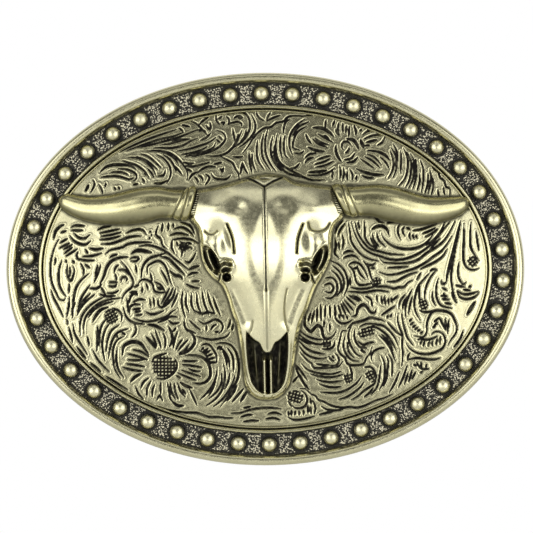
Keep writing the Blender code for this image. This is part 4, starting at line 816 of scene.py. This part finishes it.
def plate():
    """The back plate's rounded edge and its rear face, with a plain oval panel ringed by a groove."""
    segments = 720
    turns = np.arange(segments) * 2 * math.pi / segments
    rings = [(0.02, 0.01, 0)]
    for beyond, height in ((-0.3, 0), (0, 0), (0.08, 0.02), (0.25, 0.24), (0.42, 0.02), (0.5, 0), (0.8, 0)):
        rings.append((PANEL_X + beyond, PANEL_Z + beyond, height))
    (first_x, first_z, _), (last_x, last_z) = rings[-1], (HALF_X - 1.3, HALF_Z - 1.3)
    for share in np.linspace(0.2, 1, 9):
        rings.append((first_x + (last_x - first_x) * share, first_z + (last_z - first_z) * share, 0))
    for inset, height in ((1.0, 0), (0.55, 0.03), (0.4, 0.15), (0.35, 0.35), (0.35, 1.55), (1.2, 1.6),
                          (7.0, 1.6)):
        rings.append((HALF_X - inset, HALF_Z - inset, height))
    points = [[(x * math.cos(t), height, z * math.sin(t)) for x, z, height in rings] for t in turns]
    faces = grid_faces(segments, len(rings), closed_rows=True)
    build("rear_plate", np.array(points).reshape(-1, 3), faces[:, ::-1], back_metal, ["back_plate"])


def cut_stroke(canvas, line, width, ends=0.35):
    """Sinks a tapering groove with a raised lip along a line into the canvas's depth and blackness."""
    xs, zs, depth, black, lip = canvas
    margin = width + 0.2
    columns = slice(*np.searchsorted(xs, (line[:, 0].min() - margin, line[:, 0].max() + margin)))
    rows = slice(*np.searchsorted(zs, (line[:, 1].min() - margin, line[:, 1].max() + margin)))
    if columns.start >= columns.stop or rows.start >= rows.stop:
        return
    x, z = np.meshgrid(xs[columns], zs[rows])
    distance, share = distance_to(x, z, line)
    half = 0.5 * width * (ends + (1 - ends) * np.sin(math.pi * share) ** 0.5)
    near = distance / half
    groove = np.cos(np.clip(near, 0, 1) * math.pi / 2) ** 1.3 * np.minimum(half / 0.21, 1.4)
    depth[rows, columns] = np.maximum(depth[rows, columns], groove)
    black[rows, columns] = np.maximum(black[rows, columns], smoothstep(1.15, 0.85, near))
    edge = np.exp(-(((distance - half - 0.16) / 0.13) ** 2))
    lip[rows, columns] = np.maximum(lip[rows, columns], edge)


def crosshatch(canvas, middle_x, middle_z, half_x, half_z, spacing, turn):
    """Crossed grooves filling an ellipse."""
    spin = math.radians(turn)
    for level, reach, other in ((True, half_x, half_z), (False, half_z, half_x)):
        for offset in np.arange(-other + spacing / 2, other, spacing):
            run = reach * math.sqrt(1 - (offset / other) ** 2)
            ends = []
            for end in (-run, run):
                u, v = (end, offset) if level else (offset, end)
                ends.append((middle_x + u * math.cos(spin) - v * math.sin(spin),
                             middle_z + u * math.sin(spin) + v * math.cos(spin)))
            cut_stroke(canvas, np.array(ends), 0.4, ends=0.8)


def field():
    """The domed field on a fine grid, cut by every stroke, blackened in the cuts, with painted shadow round
    the casting.
    """
    pitch = 0.13
    xs = np.arange(-FIELD_X - 0.6, FIELD_X + 0.6, pitch)
    zs = np.arange(-FIELD_Z - 0.6, FIELD_Z + 0.6, pitch)
    x, z = np.meshgrid(xs, zs)
    depth, black, lip = np.zeros(x.shape), np.zeros(x.shape), np.zeros(x.shape)
    canvas = (xs, zs, depth, black, lip)
    for group in STROKES.values():
        for stroke in group:
            cut_stroke(canvas, curve(np.array(stroke, float).reshape(-1, 2), step=0.5), STROKE_WIDTH)
    for group in BROAD.values():
        for width, *stroke in group:
            cut_stroke(canvas, curve(np.array(stroke, float).reshape(-1, 2), step=0.5), width, ends=0.2)
    for patch in CROSSHATCH:
        crosshatch(canvas, *patch)
    # painted shadow on the field round the skull and round the horns
    casting = SKULL_TOP + SKULL_RIGHT + SKULL_FOOT[::-1] + SKULL_LEFT[::-1]
    black = np.maximum(black, 0.85 * smoothstep(0.75, 0.1, distance_to(x, z, casting)[0]))
    for line in (HORN_LEFT, HORN_RIGHT):
        reach, share = distance_to(x, z, line[2:])
        half = np.interp(share, np.linspace(0, 1, len(line) - 2), [section[2] for section in line[2:]])
        black = np.maximum(black, 0.85 * smoothstep(0.75, 0.1, reach - half))
    height = field_height(x, z) - CUT_DEPTH * depth + LIP_HEIGHT * lip * (1 - depth.clip(0, 1))
    inside = (x / (FIELD_X + 0.35)) ** 2 + (z / (FIELD_Z + 0.35)) ** 2 < 1
    keep = inside[:-1, :-1] & inside[1:, :-1] & inside[:-1, 1:] & inside[1:, 1:]
    faces = grid_faces(*x.shape)[keep.ravel()]
    used = np.unique(faces)
    renumber = np.zeros(x.size, int)
    renumber[used] = np.arange(len(used))
    points = np.stack([x.ravel(), height.ravel(), z.ravel()], axis=1)[used]
    build("engraved_field", points, renumber[faces], field_metal, ["engraved_plate"],
          patina=black.ravel()[used])


# ---------------------------------------------------------------- skull and horns

# The skull's outline in millimetres, as four sides that a grid is stretched between
SKULL_TOP = ((-12.3, 14.5), (-8.6, 15.2), (-4.9, 16.2), (-3.3, 16.7), (0.2, 17.4), (3.8, 16.9), (5.2, 16.1),
             (9.0, 15.5), (11.9, 15.1))
SKULL_LEFT = ((-12.3, 14.5), (-13.0, 12.0), (-13.6, 9.86), (-13.7, 9.5), (-13.3, 8.5), (-12.5, 7.4),
              (-12.05, 6.0), (-11.9, 4.0), (-11.6, 2.0), (-10.9, 0.1), (-9.7, -1.5), (-8.0, -2.9),
              (-6.9, -5.2), (-6.2, -7.6), (-5.4, -9.9), (-4.85, -12.3), (-4.45, -15.2), (-4.05, -18.8),
              (-3.65, -21.3), (-2.9, -22.8))
SKULL_RIGHT = ((11.9, 15.1), (13.1, 12.5), (14.13, 10.26), (14.3, 9.9), (13.8, 9.0), (12.8, 8.0), (12.2, 6.4),
               (12.15, 4.0), (11.9, 2.0), (11.2, 0.2), (10.2, -1.6), (9.2, -3.3), (8.45, -5.2), (7.6, -7.6),
               (6.6, -9.9), (6.1, -12.1), (5.6, -15.0), (5.0, -18.8), (4.35, -21.3), (3.4, -22.8))
SKULL_FOOT = ((-2.9, -22.8), (-1.6, -23.7), (0.3, -24.0), (2.1, -23.7), (3.4, -22.8))
CUFF_FOOT_LEFT, CUFF_FOOT_RIGHT = 9.5, 9.9  # below these heights the skull's sides stand free of the horns
SKULL_MIDDLE, SKULL_LEAN = 0.09, 0.0186  # the middle line's place at z = 0, and its slope
EDGE_ROUNDING = 0.8

# Heights of the skull's middle line above the field, by z
SPINE = ((-24.0, 3.0), (-20.0, 3.8), (-15.0, 4.9), (-10.0, 5.8), (-4.0, 6.6), (2.0, 7.2), (7.0, 7.3),
         (11.0, 6.8), (14.0, 5.6), (17.4, 3.2))
# Where the flat of the face ends, and half the width of the raised petal on the forehead, by z
SHOULDER = ((-24.0, 0.6), (-14.0, 0.5), (-9.0, 0.8), (-5.0, 1.9), (-2.0, 3.0), (1.0, 3.6), (4.0, 3.9),
            (8.0, 4.4), (12.0, 5.2), (17.4, 6.5))
PETAL_HALF = ((-24.0, -2.0), (-5.0, -0.8), (-3.0, 0.2), (-1.0, 1.5), (1.0, 2.2), (4.0, 2.5), (8.0, 1.9),
              (10.5, 0.6), (13.0, -0.8), (17.4, -2.0))
# Half the width of the nose opening, and how far out the bones above it reach, by z
NOSE_HALF = ((-23.0, 0.2), (-22.6, 1.3), (-22.0, 2.1), (-21.0, 2.8), (-19.0, 3.35), (-16.0, 3.7),
             (-13.0, 3.8), (-11.0, 3.7))
BONE_EDGE = ((-15.3, -1.0), (-14.9, 0.8), (-14.2, 1.15), (-13.5, 1.5), (-12.9, 2.4), (-12.0, 3.3),
             (-11.2, 4.0))


def swelling(x, z, at_x, at_z, radius_x, radius_z, tilt=0.0, power=2):
    """A soft swelling of height 1, or a flat-topped one with a higher power."""
    turn = math.radians(tilt)
    dx, dz = x - at_x, z - at_z
    one = (dx * math.cos(turn) - dz * math.sin(turn)) / radius_x
    other = (dz * math.cos(turn) + dx * math.sin(turn)) / radius_z
    return np.exp(-((one**2 + other**2) ** (power / 2)))


class Relief:
    """The skull's height and blackness over its grid; a feature is on both sides unless it says one_side."""

    def __init__(self, across, up, height):
        self.signed, self.across, self.up = across, np.abs(across), up
        self.height, self.dark = height, np.zeros(up.shape)

    def line(self, points, width, rise, black=0.0, one_side=False):
        """Raises or sinks the metal along a line; a negative black wipes the patina off."""
        across = self.signed if one_side else self.across
        d, _ = distance_to(across, self.up, curve(points, step=0.4))
        soft = np.exp(-((d / width) ** 2))
        self.height = self.height + rise * soft
        if black < 0:
            self.dark = self.dark * (1 + black * soft)
        else:
            self.dark = np.maximum(self.dark, black * smoothstep(1.1 * width, 0.5 * width, d))

    def spot(self, at_x, at_z, radius_x, radius_z, rise, tilt=0.0, power=2, black=0.0, one_side=False):
        """Raises or sinks an oval patch."""
        across = self.signed if one_side else self.across
        shape = swelling(across, self.up, at_x, at_z, radius_x, radius_z, tilt, power)
        self.height = self.height + rise * shape
        self.dark = np.maximum(self.dark, black * smoothstep(0.25, 0.7, shape))


def skull_flat(rows, columns):
    """The skull's grid in the plane, and the stretches of its outline that stand free."""
    across = eased(columns)
    down = eased(rows)
    top, foot = at_shares(SKULL_TOP, across), at_shares(SKULL_FOOT, across)
    left, right = at_shares(SKULL_LEFT, down), at_shares(SKULL_RIGHT, down)
    u, v = across[None, :, None], down[:, None, None]
    sides = (1 - u) * left[:, None] + u * right[:, None]
    ends = (1 - v) * top[None] + v * foot[None]
    corners = (1 - v) * ((1 - u) * top[0] + u * top[-1]) + v * ((1 - u) * foot[0] + u * foot[-1])
    free = [top, foot, left[left[:, 1] <= CUFF_FOOT_LEFT], right[right[:, 1] <= CUFF_FOOT_RIGHT]]
    return sides + ends - corners, free


def eased(count):
    """Shares from 0 to 1 that lie closer together at both ends."""
    even = np.linspace(0, 1, count)
    return 0.35 * even + 0.65 * (1 - np.cos(math.pi * even)) / 2


def at_shares(points, shares):
    """Points at these shares of a smooth line's length."""
    fine = curve(points, count=600)
    return np.stack([np.interp(shares, np.linspace(0, 1, 600), fine[:, i]) for i in range(fine.shape[1])],
                    axis=1)


def profile_at(value, points):
    """A smooth curve through (place, size) points, read at these places."""
    fine = curve(points, count=400)
    return np.interp(value, fine[:, 0], fine[:, 1])


def soft_ramp(value, softness):
    """Nothing below zero and the value itself above, with a rounded corner."""
    return softness * np.logaddexp(0, value / softness)


def face_forms(relief):
    """Forehead, brow, temples, cheeks and snout."""
    a, z = relief.across, relief.up
    relief.height = relief.height - 0.32 * soft_ramp(a - profile_at(z, SHOULDER), 0.55)
    relief.height = relief.height + 0.22 * soft_ramp(profile_at(z, PETAL_HALF) - a, 0.2)
    relief.spot(-4.9, 11.2, 1.5, 1.4, -0.4, one_side=True)
    relief.spot(3.6, 11.3, 1.8, 1.6, -0.4, one_side=True)
    relief.spot(10.2, 11.0, 3.0, 2.6, 0.6)
    relief.spot(8.5, 5.2, 1.6, 2.8, -0.95, tilt=-8)
    relief.line(((8.0, -2.6), (6.7, -6.0), (5.3, -9.5), (4.6, -13.0), (4.35, -17.0), (3.7, -21.0)), 1.2, 0.2)
    relief.line(((6.0, -3.6), (4.7, -6.4), (3.6, -9.4)), 0.9, -0.22)


def face_details(relief):
    """Sutures, hollows, eyes and the lines round them."""
    relief.line(((0, 14.9), (0, 8.0), (0, 0.0), (0, -4.0)), 0.2, -0.3, black=1)
    relief.line(((0, -4.0), (0, -14.6)), 0.34, -0.16, black=0.5)
    relief.line(((0, 15.0), (1.7, 16.0), (3.3, 16.7)), 0.3, -0.25, black=1)
    relief.spot(0, 16.5, 1.0, 0.22, -0.4, black=0.8)
    relief.line(((6.9, 8.1), (6.0, 5.6), (5.7, 3.0)), 0.2, -0.7, black=1)
    relief.spot(-6.9, 5.4, 0.45, 2.1, -0.4, tilt=-18, black=0.6, one_side=True)
    relief.line(((-11.0, 6.9), (-10.2, 6.3), (-9.2, 6.4), (-8.7, 6.9)), 0.16, -0.35, black=0.8, one_side=True)
    relief.line(((7.9, 8.4), (8.3, 7.2), (9.8, 6.8), (11.2, 7.4), (11.8, 8.3)), 0.18, -0.45, black=0.8,
                one_side=True)
    relief.line(((3.8, -3.6), (3.35, -6.0), (3.3, -8.6), (3.9, -11.4)), 0.16, -0.3, black=0.55, one_side=True)
    relief.line(((-2.6, -9.4), (-2.9, -11.0), (-3.6, -12.2)), 0.16, -0.25, black=0.5, one_side=True)
    pits = ((9.9, 1.6, 1.05, 2.6, 27, 3.0), (7.5, 0.5, 1.35, 1.15, 0, 1.5), (7.15, -1.5, 0.75, 0.75, 0, 2.2))
    for at_x, at_z, radius_x, radius_z, tilt, depth in pits:
        relief.spot(at_x, at_z, radius_x * 1.28, radius_z * 1.18, 0.5, tilt=tilt, power=4)
        relief.spot(at_x, at_z, radius_x, radius_z, -0.5 - depth, tilt=tilt, power=6, black=1)
    relief.line(((10.6, 3.3), (10.2, 1.6), (9.4, 0.0)), 0.34, 3.0, black=-1)
    relief.line(((8.5, 0.9), (7.6, 1.4), (6.6, 1.3)), 0.3, 1.9, black=-1)
    relief.line(((8.3, -0.1), (7.5, 0.5), (6.4, 0.3)), 0.3, 1.9, black=-1)
    relief.line(((8.9, -2.6), (8.5, -1.9), (8.3, -1.0)), 0.2, -0.6, black=1)


def nose(relief):
    """The nose opening with its notched bones above and two prongs inside."""
    a, z = relief.across, relief.up
    opening = smoothstep(-0.1, 0.3, profile_at(z, NOSE_HALF) - a) * smoothstep(-22.9, -22.4, z)
    bones = smoothstep(-0.12, 0.2, profile_at(z, BONE_EDGE) - a)
    bones = np.maximum(bones, smoothstep(-11.6, -11.2, z))
    cavity = opening * (1 - bones)
    prong = np.exp(-(((a - 0.6) / 0.34) ** 4)) * smoothstep(-15.2, -16.8, z)
    lobe = swelling(a, z, 2.1, -18.0, 0.22, 3.2, 4, 2) * 0.45
    relief.height = relief.height - 3.2 * cavity * (1 - 0.9 * prong - 0.3 * lobe)
    relief.dark = np.maximum(relief.dark, cavity * np.clip(1 - 1.25 * prong - lobe, 0, 1))
    ring = np.exp(-(((profile_at(z, NOSE_HALF) - a + 0.6) / 0.14) ** 2)) * smoothstep(-12.6, -14.0, z)
    relief.height = relief.height - 0.22 * ring
    relief.dark = np.maximum(relief.dark, 0.35 * ring)


def cuff_seam(relief):
    """Short dark ticks where the horns' cuffs meet the skull."""
    for side, top, foot in ((-1, (-12.4, 14.0), (-13.3, 9.8)), (1, (12.3, 14.5), (13.7, 10.2))):
        for share in np.linspace(0, 1, 11):
            x = top[0] + (foot[0] - top[0]) * share - 0.02
            z = top[1] + (foot[1] - top[1]) * share
            across = x - SKULL_MIDDLE + SKULL_LEAN * z
            relief.line(((across + 0.6 * side, z - 0.1), (across - 0.35 * side, z + 0.1)), 0.1, -0.15,
                        black=1, one_side=True)


def skull():
    """The casting, rounded at its free edges, with walls down to the field."""
    rows, columns = ((340, 240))
    flat, free = skull_flat(rows, columns)
    x, z = flat[..., 0], flat[..., 1]
    room = np.min([distance_to(x, z, line)[0] for line in free], axis=0)
    across = x - SKULL_MIDDLE + SKULL_LEAN * z
    relief = Relief(across, z, profile_at(z, SPINE))
    face_forms(relief)
    face_details(relief)
    nose(relief)
    cuff_seam(relief)
    t = np.clip(room / EDGE_ROUNDING, 0, 1)
    total = field_height(x, z) + 0.02 + np.maximum(relief.height, 0.3) * np.sqrt(t * (2 - t))
    # painted shade along the skull's free edges
    dark = np.maximum(relief.dark, 0.6 * smoothstep(0.2, 0.05, room))
    points = np.stack([x, total, z], axis=-1)
    wall, wall_faces = skirt(points, 2.8)
    faces = np.vstack([grid_faces(rows, columns), wall_faces])
    # the walls down to the field are painted black as shade
    dark = np.concatenate([dark.ravel(), np.ones(len(wall))])
    build("skull_casting", np.vstack([points.reshape(-1, 3), wall]), faces, skull_metal, ["skull"],
          patina=dark)


def skirt(grid, low):
    """A wall from a grid's border straight down to a height."""
    rows, columns, _ = grid.shape
    index = np.arange(rows * columns).reshape(rows, columns)
    border = np.concatenate([index[0, :-1], index[:-1, -1], index[-1, :0:-1], index[:0:-1, 0]])
    below = grid.reshape(-1, 3)[border].copy()
    below[:, 1] = low
    first = rows * columns
    following = np.roll(border, -1)
    lower = first + np.arange(len(border))
    faces = np.stack([border, lower, np.roll(lower, -1), following], axis=1)
    return below, faces


# Horns from cuff to tip: middle x and z, half width, crest height, and the cuff rings' slant in degrees
HORN_LEFT = ((-13.1, 12.05, 3.0, 9.5, 15.6), (-14.3, 12.0, 3.3, 9.6, 18), (-15.6, 11.9, 2.95, 9.3, 25),
             (-17.2, 11.9, 2.75, 9.15, 20), (-20.0, 12.0, 3.0, 9.2, 8), (-22.5, 11.65, 3.15, 9.1, 0),
             (-25.0, 11.2, 3.05, 8.8, 0), (-27.5, 10.9, 2.75, 8.4, 0), (-30.0, 10.8, 2.5, 7.8, 0),
             (-32.5, 11.0, 2.2, 7.1, 0), (-35.0, 11.7, 1.85, 6.2, 0), (-36.6, 12.4, 1.5, 5.6, 0),
             (-37.7, 13.0, 1.25, 5.1, 0))
HORN_RIGHT = ((13.2, 12.6, 3.0, 9.5, 24.8), (14.4, 12.6, 3.25, 9.6, 26), (15.7, 12.4, 2.95, 9.3, 25),
              (17.5, 12.4, 2.8, 9.15, 18), (20.0, 12.4, 2.95, 9.2, 8), (22.5, 12.0, 3.1, 9.1, 0),
              (25.0, 11.4, 3.05, 8.8, 0), (27.5, 10.9, 2.75, 8.4, 0), (30.0, 10.7, 2.5, 7.8, 0),
              (32.5, 10.95, 2.2, 7.1, 0), (35.0, 11.5, 1.8, 6.2, 0), (36.3, 12.1, 1.35, 5.6, 0),
              (37.2, 12.7, 1.0, 5.1, 0))


def horn(name, line, node):
    """A horn from its grooved cuff to its rounded tip, flattened, with walls down to the field."""
    rows, columns = ((300, 56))
    sections = at_shares(line, np.linspace(0, 1, rows) ** 0.85)
    run = np.gradient(sections[:, :2], axis=0)
    run /= np.linalg.norm(run, axis=1)[:, None]
    turns = np.linspace(-math.pi / 2, math.pi / 2, columns)
    side = np.sign(run[:, 0])
    lean = np.radians(sections[:, 4])
    up_x = -side * run[:, 1] * np.cos(lean) - run[:, 0] * np.sin(lean)
    up_z = side * run[:, 0] * np.cos(lean) - run[:, 1] * np.sin(lean)
    x, z, half, top = sections[:, 0], sections[:, 1], sections[:, 2], sections[:, 3]
    reach = np.concatenate([[0], np.cumsum(np.linalg.norm(np.diff(sections[:, :2], axis=0), axis=1))])
    dark = np.zeros((rows, columns))
    tip = np.sqrt(1 - np.clip((reach - reach[-1] + 1.3) / 1.31, 0, 1) ** 2)
    half = half * tip
    top = top - 0.7 * (1 - tip)
    for at, width, depth in ((1.55, 0.22, 0.3), (2.75, 0.2, 0.22)):
        cut = np.exp(-(((reach - at) / width) ** 2))
        half = half - depth * cut
        top = top - depth * cut
        dark = np.maximum(dark, 0.75 * smoothstep(0.5, 0.95, cut)[:, None])
    root = smoothstep(0.35, 0.0, reach)
    half = half - 0.3 * root
    top = top - 0.35 * root
    dark = np.maximum(dark, root[:, None])
    rise = np.sin(turns)[None]
    body = smoothstep(3.2, 4.2, reach)[:, None]
    # painted shade on the horn's underside
    dark = np.maximum(dark, 0.55 * body * smoothstep(-0.15, -0.85, rise))
    # a painted dark reflection line along the horn's upper flank
    dark = np.maximum(dark, 0.5 * body * np.exp(-(((rise - 0.63) / 0.07) ** 2)))
    low = np.maximum(field_height(x, z), 3.9 * smoothstep(31, 34, np.abs(x))) + 0.05
    shoulder = np.maximum(low, top - 0.85 * half)
    height = shoulder[:, None] + (top - shoulder)[:, None] * np.cos(turns)[None]
    offset = half[:, None] * rise
    grid = np.stack([x[:, None] + offset * up_x[:, None], height, z[:, None] + offset * up_z[:, None]],
                    axis=-1)
    wall, wall_faces = skirt(grid, 2.9)
    points = np.vstack([grid.reshape(-1, 3), wall])
    faces = np.vstack([grid_faces(rows, columns), wall_faces])
    # the cuffs' patina, the painted shade above, and painted shade on the walls down to the field
    horn_patina_and_shade = np.concatenate([dark.ravel(), np.full(len(wall), 0.6)])
    build(name, points, faces, horn_metal, [node], slot="horn", patina=horn_patina_and_shade)


# ---------------------------------------------------------------- hardware on the back


def tube(name, route, radius, body, node, scales=None, material=wire_metal):
    """A round wire along a route of (x, y, z) in millimetres."""
    data = bpy.data.curves.new(name + "_route", "CURVE")
    data.dimensions = "3D"
    data.bevel_depth = radius * MM
    data.bevel_resolution = 7
    data.use_fill_caps = True
    spline = data.splines.new("POLY")
    spline.points.add(len(route) - 1)
    for i, (x, y, z) in enumerate(route):
        spline.points[i].co = (x * MM, y * MM, z * MM, 1)
        spline.points[i].radius = scales[i] if scales else 1
    return mesh_of_curve(name, data, body, node, material)


def mesh_of_curve(name, data, body, node, material, place=None):
    """Makes a curve into a mesh piece, moved by place."""
    drawn = bpy.data.objects.new(name + "_route", data)
    bpy.context.scene.collection.objects.link(drawn)
    graph = bpy.context.evaluated_depsgraph_get()
    mesh = bpy.data.meshes.new_from_object(drawn.evaluated_get(graph))
    bpy.data.objects.remove(drawn)
    if place is not None:
        mesh.transform(place)
    mesh.shade_smooth()
    made = bpy.data.objects.new(name, mesh)
    return finish_piece(made, material, [node], body)


def bail_route():
    """From one lug's bore round the loop to the other lug's bore."""
    span, reach = BAIL_HALF_SPAN, BAIL_REACH
    ends = [BAIL_END, BAIL_END + 0.1]
    route = [(BAIL_AXIS_X, BAIL_AXIS_Y, z) for z in ends]
    for x, z, bend, start in ((0, span, BAIL_INNER_CORNER, 180), (reach, span, BAIL_CORNER, 90),
                              (reach, -span, BAIL_CORNER, 0), (0, -span, BAIL_INNER_CORNER, -90)):
        middle = (BAIL_AXIS_X + x - math.copysign(bend, x - 1), z - math.copysign(bend, z))
        route += [(px, BAIL_AXIS_Y, pz) for px, pz in arc(middle, bend, start, start - 90, 13)]
    return route + [(BAIL_AXIS_X, BAIL_AXIS_Y, -z) for z in reversed(ends)]


def bail():
    route = bail_route()
    scales = [0.9] + [1.0] * (len(route) - 2) + [0.9]
    tube("strap_bail", route, BAIL_WIRE_RADIUS, "bail", "bail_wire", scales)


def lug(word, middle):
    """A lug with a flat foot, a round top and a bore for the bail's end."""
    data = bpy.data.curves.new("lug_outline", "CURVE")
    data.dimensions = "2D"
    data.fill_mode = "BOTH"
    data.extrude = (LUG_HALF_LENGTH - LUG_ROUNDING) * MM
    data.bevel_depth = LUG_ROUNDING * MM
    data.bevel_resolution = 3
    data.offset = -LUG_ROUNDING * MM
    foot = 0.02 - BAIL_AXIS_Y
    outline = [(-LUG_HALF_BASE, foot), (LUG_HALF_BASE, foot), (LUG_HALF_BASE - 0.02, -1.8)]
    outline += arc((0, 0), LUG_RADIUS, -5, 185, 25) + [(0.02 - LUG_HALF_BASE, -1.8)]
    for loop in (outline, arc((0, 0), LUG_BORE_RADIUS, 0, 350, 36)):
        spline = data.splines.new("POLY")
        spline.points.add(len(loop) - 1)
        for point, (x, y) in zip(spline.points, loop):
            point.co = (x * MM, y * MM, 0, 1)
        spline.use_cyclic_u = True
    place = Matrix.Translation((BAIL_AXIS_X * MM, BAIL_AXIS_Y * MM, middle * MM))
    mesh_of_curve("hinge_lug_" + word, data, "buckle", "bail_lug_" + word, back_metal, place)


def turned(name, profile, steps, middle, node, slot=None):
    """A turned piece on the rear face; its profile's heights are negative behind the face."""
    points = lathe(profile, steps, middle)
    build(name, points, grid_faces(steps, len(profile), closed_rows=True), back_metal, [node], slot=slot)


def hook():
    """The fixed hook, with a rounded tip, on its turned foot."""
    steps = 60
    bend = curve([(HOOK_X + x, y) for x, y in HOOK_ROUTE], count=steps)
    tip = np.clip((np.linspace(0, 1, steps) - 0.88) / 0.125, 0, 1)
    scales = [float(s) for s in np.sqrt(np.clip(1 - tip**2, 0.01, 1))]
    tube("belt_hook", [(x, y, 0) for x, y in bend], HOOK_RADIUS, "buckle", "hook_prong", scales)
    foot = [(0.02, -1.12), (2.0, -1.1), (2.6, -1.02), (3.4, -0.95), (3.85, -0.75), (4.0, -0.45), (4.0, 0.1)]
    turned("hook_base", foot, 48, (HOOK_X, 0), "hook_foot")


def peg_heads():
    """The domed ends of the pegs that hold the skull."""
    radius, rise = 2.0, 0.65
    head = [(0.02, -0.7)]
    head += [(radius * math.sin(t), -0.05 - rise * math.cos(t)) for t in np.linspace(0.1, 1.5, 8)]
    head += [(radius, 0.1)]
    for word, middle in PEGS:
        turned("peg_head_" + word, head, 32, (0, middle), "skull_peg_" + word, "skull_peg")


# ---------------------------------------------------------------- studio


FLOOR_HEIGHT = -0.15  # metres
FLOOR_RADIUS, FLOOR_MIDDLE_Y = 780, 350  # millimetres
CAMERA_PLACE = (0.00022, -0.804, 0.00046)
CAMERA_LENS = 295  # millimetres


def area_light(name, place, size, radiance):
    """A softbox of this brightness that faces the buckle."""
    data = bpy.data.lights.new(name, "AREA")
    data.shape = "RECTANGLE"
    data.size, data.size_y = size
    data.energy = radiance * math.pi * size[0] * size[1]
    made = bpy.data.objects.new(name, data)
    made.location = place
    made.rotation_euler = (-Vector(place)).to_track_quat("-Z", "Y").to_euler()
    bpy.context.scene.collection.objects.link(made)


def lights():
    for word, side in (("left", -1), ("right", 1)):
        area_light("high_softbox_" + word, (side * 0.58, -0.6, 0.33), (0.66, 0.44), 2.15)
        area_light("middle_softbox_" + word, (side * 0.5, -0.69, 0.0), (0.93, 0.22), 2.45)
        area_light("low_softbox_" + word, (side * 0.55, -0.64, -0.18), (0.78, 0.24), 2.3)
    area_light("top_softbox", (0, -0.45, 0.75), (0.8, 0.35), 0.9)


def backdrop():
    """A white backdrop, which as a light is dim on the camera's side and bright behind the buckle."""
    world = bpy.data.worlds.new("studio")
    bpy.context.scene.world = world
    world.use_nodes = True
    tree = world.node_tree
    white = (1, 1, 1, 1)
    seen = tree.nodes["Background"]
    set_inputs(seen, {"Color": white, "Strength": 1.0})
    direction = add_node(tree, "TexCoord").outputs["Generated"]
    behind = add_node(tree, "SeparateXYZ", {0: direction}).outputs["Y"]
    glow = map_range(tree, behind, -0.15, 0.5, 0.13, 1.0)
    around = add_node(tree, "Background", {"Color": white, "Strength": glow})
    camera_ray = add_node(tree, "LightPath").outputs["Is Camera Ray"]
    choose = add_node(tree, "MixShader", {0: camera_ray, 1: around.outputs[0], 2: seen.outputs[0]})
    set_inputs(tree.nodes["World Output"], {"Surface": choose.outputs[0]})


def floor():
    """A plain pale disc, mostly behind the buckle so that little of it is mirrored in the metal."""
    steps = 96
    disc = lathe([(0.5, 0), (FLOOR_RADIUS, 0)], steps, (0, FLOOR_MIDDLE_Y))
    mesh = bpy.data.meshes.new("floor")
    flat = [(x * MM, y * MM, FLOOR_HEIGHT) for x, _, y in disc]
    mesh.from_pydata(flat, [], grid_faces(steps, 2, closed_rows=True)[:, ::-1].tolist())
    made = bpy.data.objects.new("floor", mesh)
    bpy.context.scene.collection.objects.link(made)
    paint, _, shader = new_material("floor_paint")
    set_inputs(shader, {"Base Color": (0.9, 0.9, 0.89, 1), "Roughness": 0.8})
    mesh.materials.append(paint)


def camera():
    lens = bpy.data.cameras.new("camera")
    lens.lens = CAMERA_LENS
    lens.sensor_width = 36
    lens.clip_start = 0.01
    view = bpy.data.objects.new("camera", lens)
    view.location = CAMERA_PLACE
    view.rotation_euler = (math.pi / 2, 0, 0)
    bpy.context.scene.collection.objects.link(view)
    bpy.context.scene.camera = view


rim()
band()
bead_pieces()
border()
plate()
field()
skull()
horn("horn_casting_left", HORN_LEFT, "horn_left")
horn("horn_casting_right", HORN_RIGHT, "horn_right")
bail()
for lug_word, lug_side in (("top", 1), ("bottom", -1)):
    lug(lug_word, lug_side * LUG_MIDDLE)
hook()
peg_heads()

bpy.context.scene.view_settings.view_transform = "Standard"
backdrop()
lights()
floor()
camera()
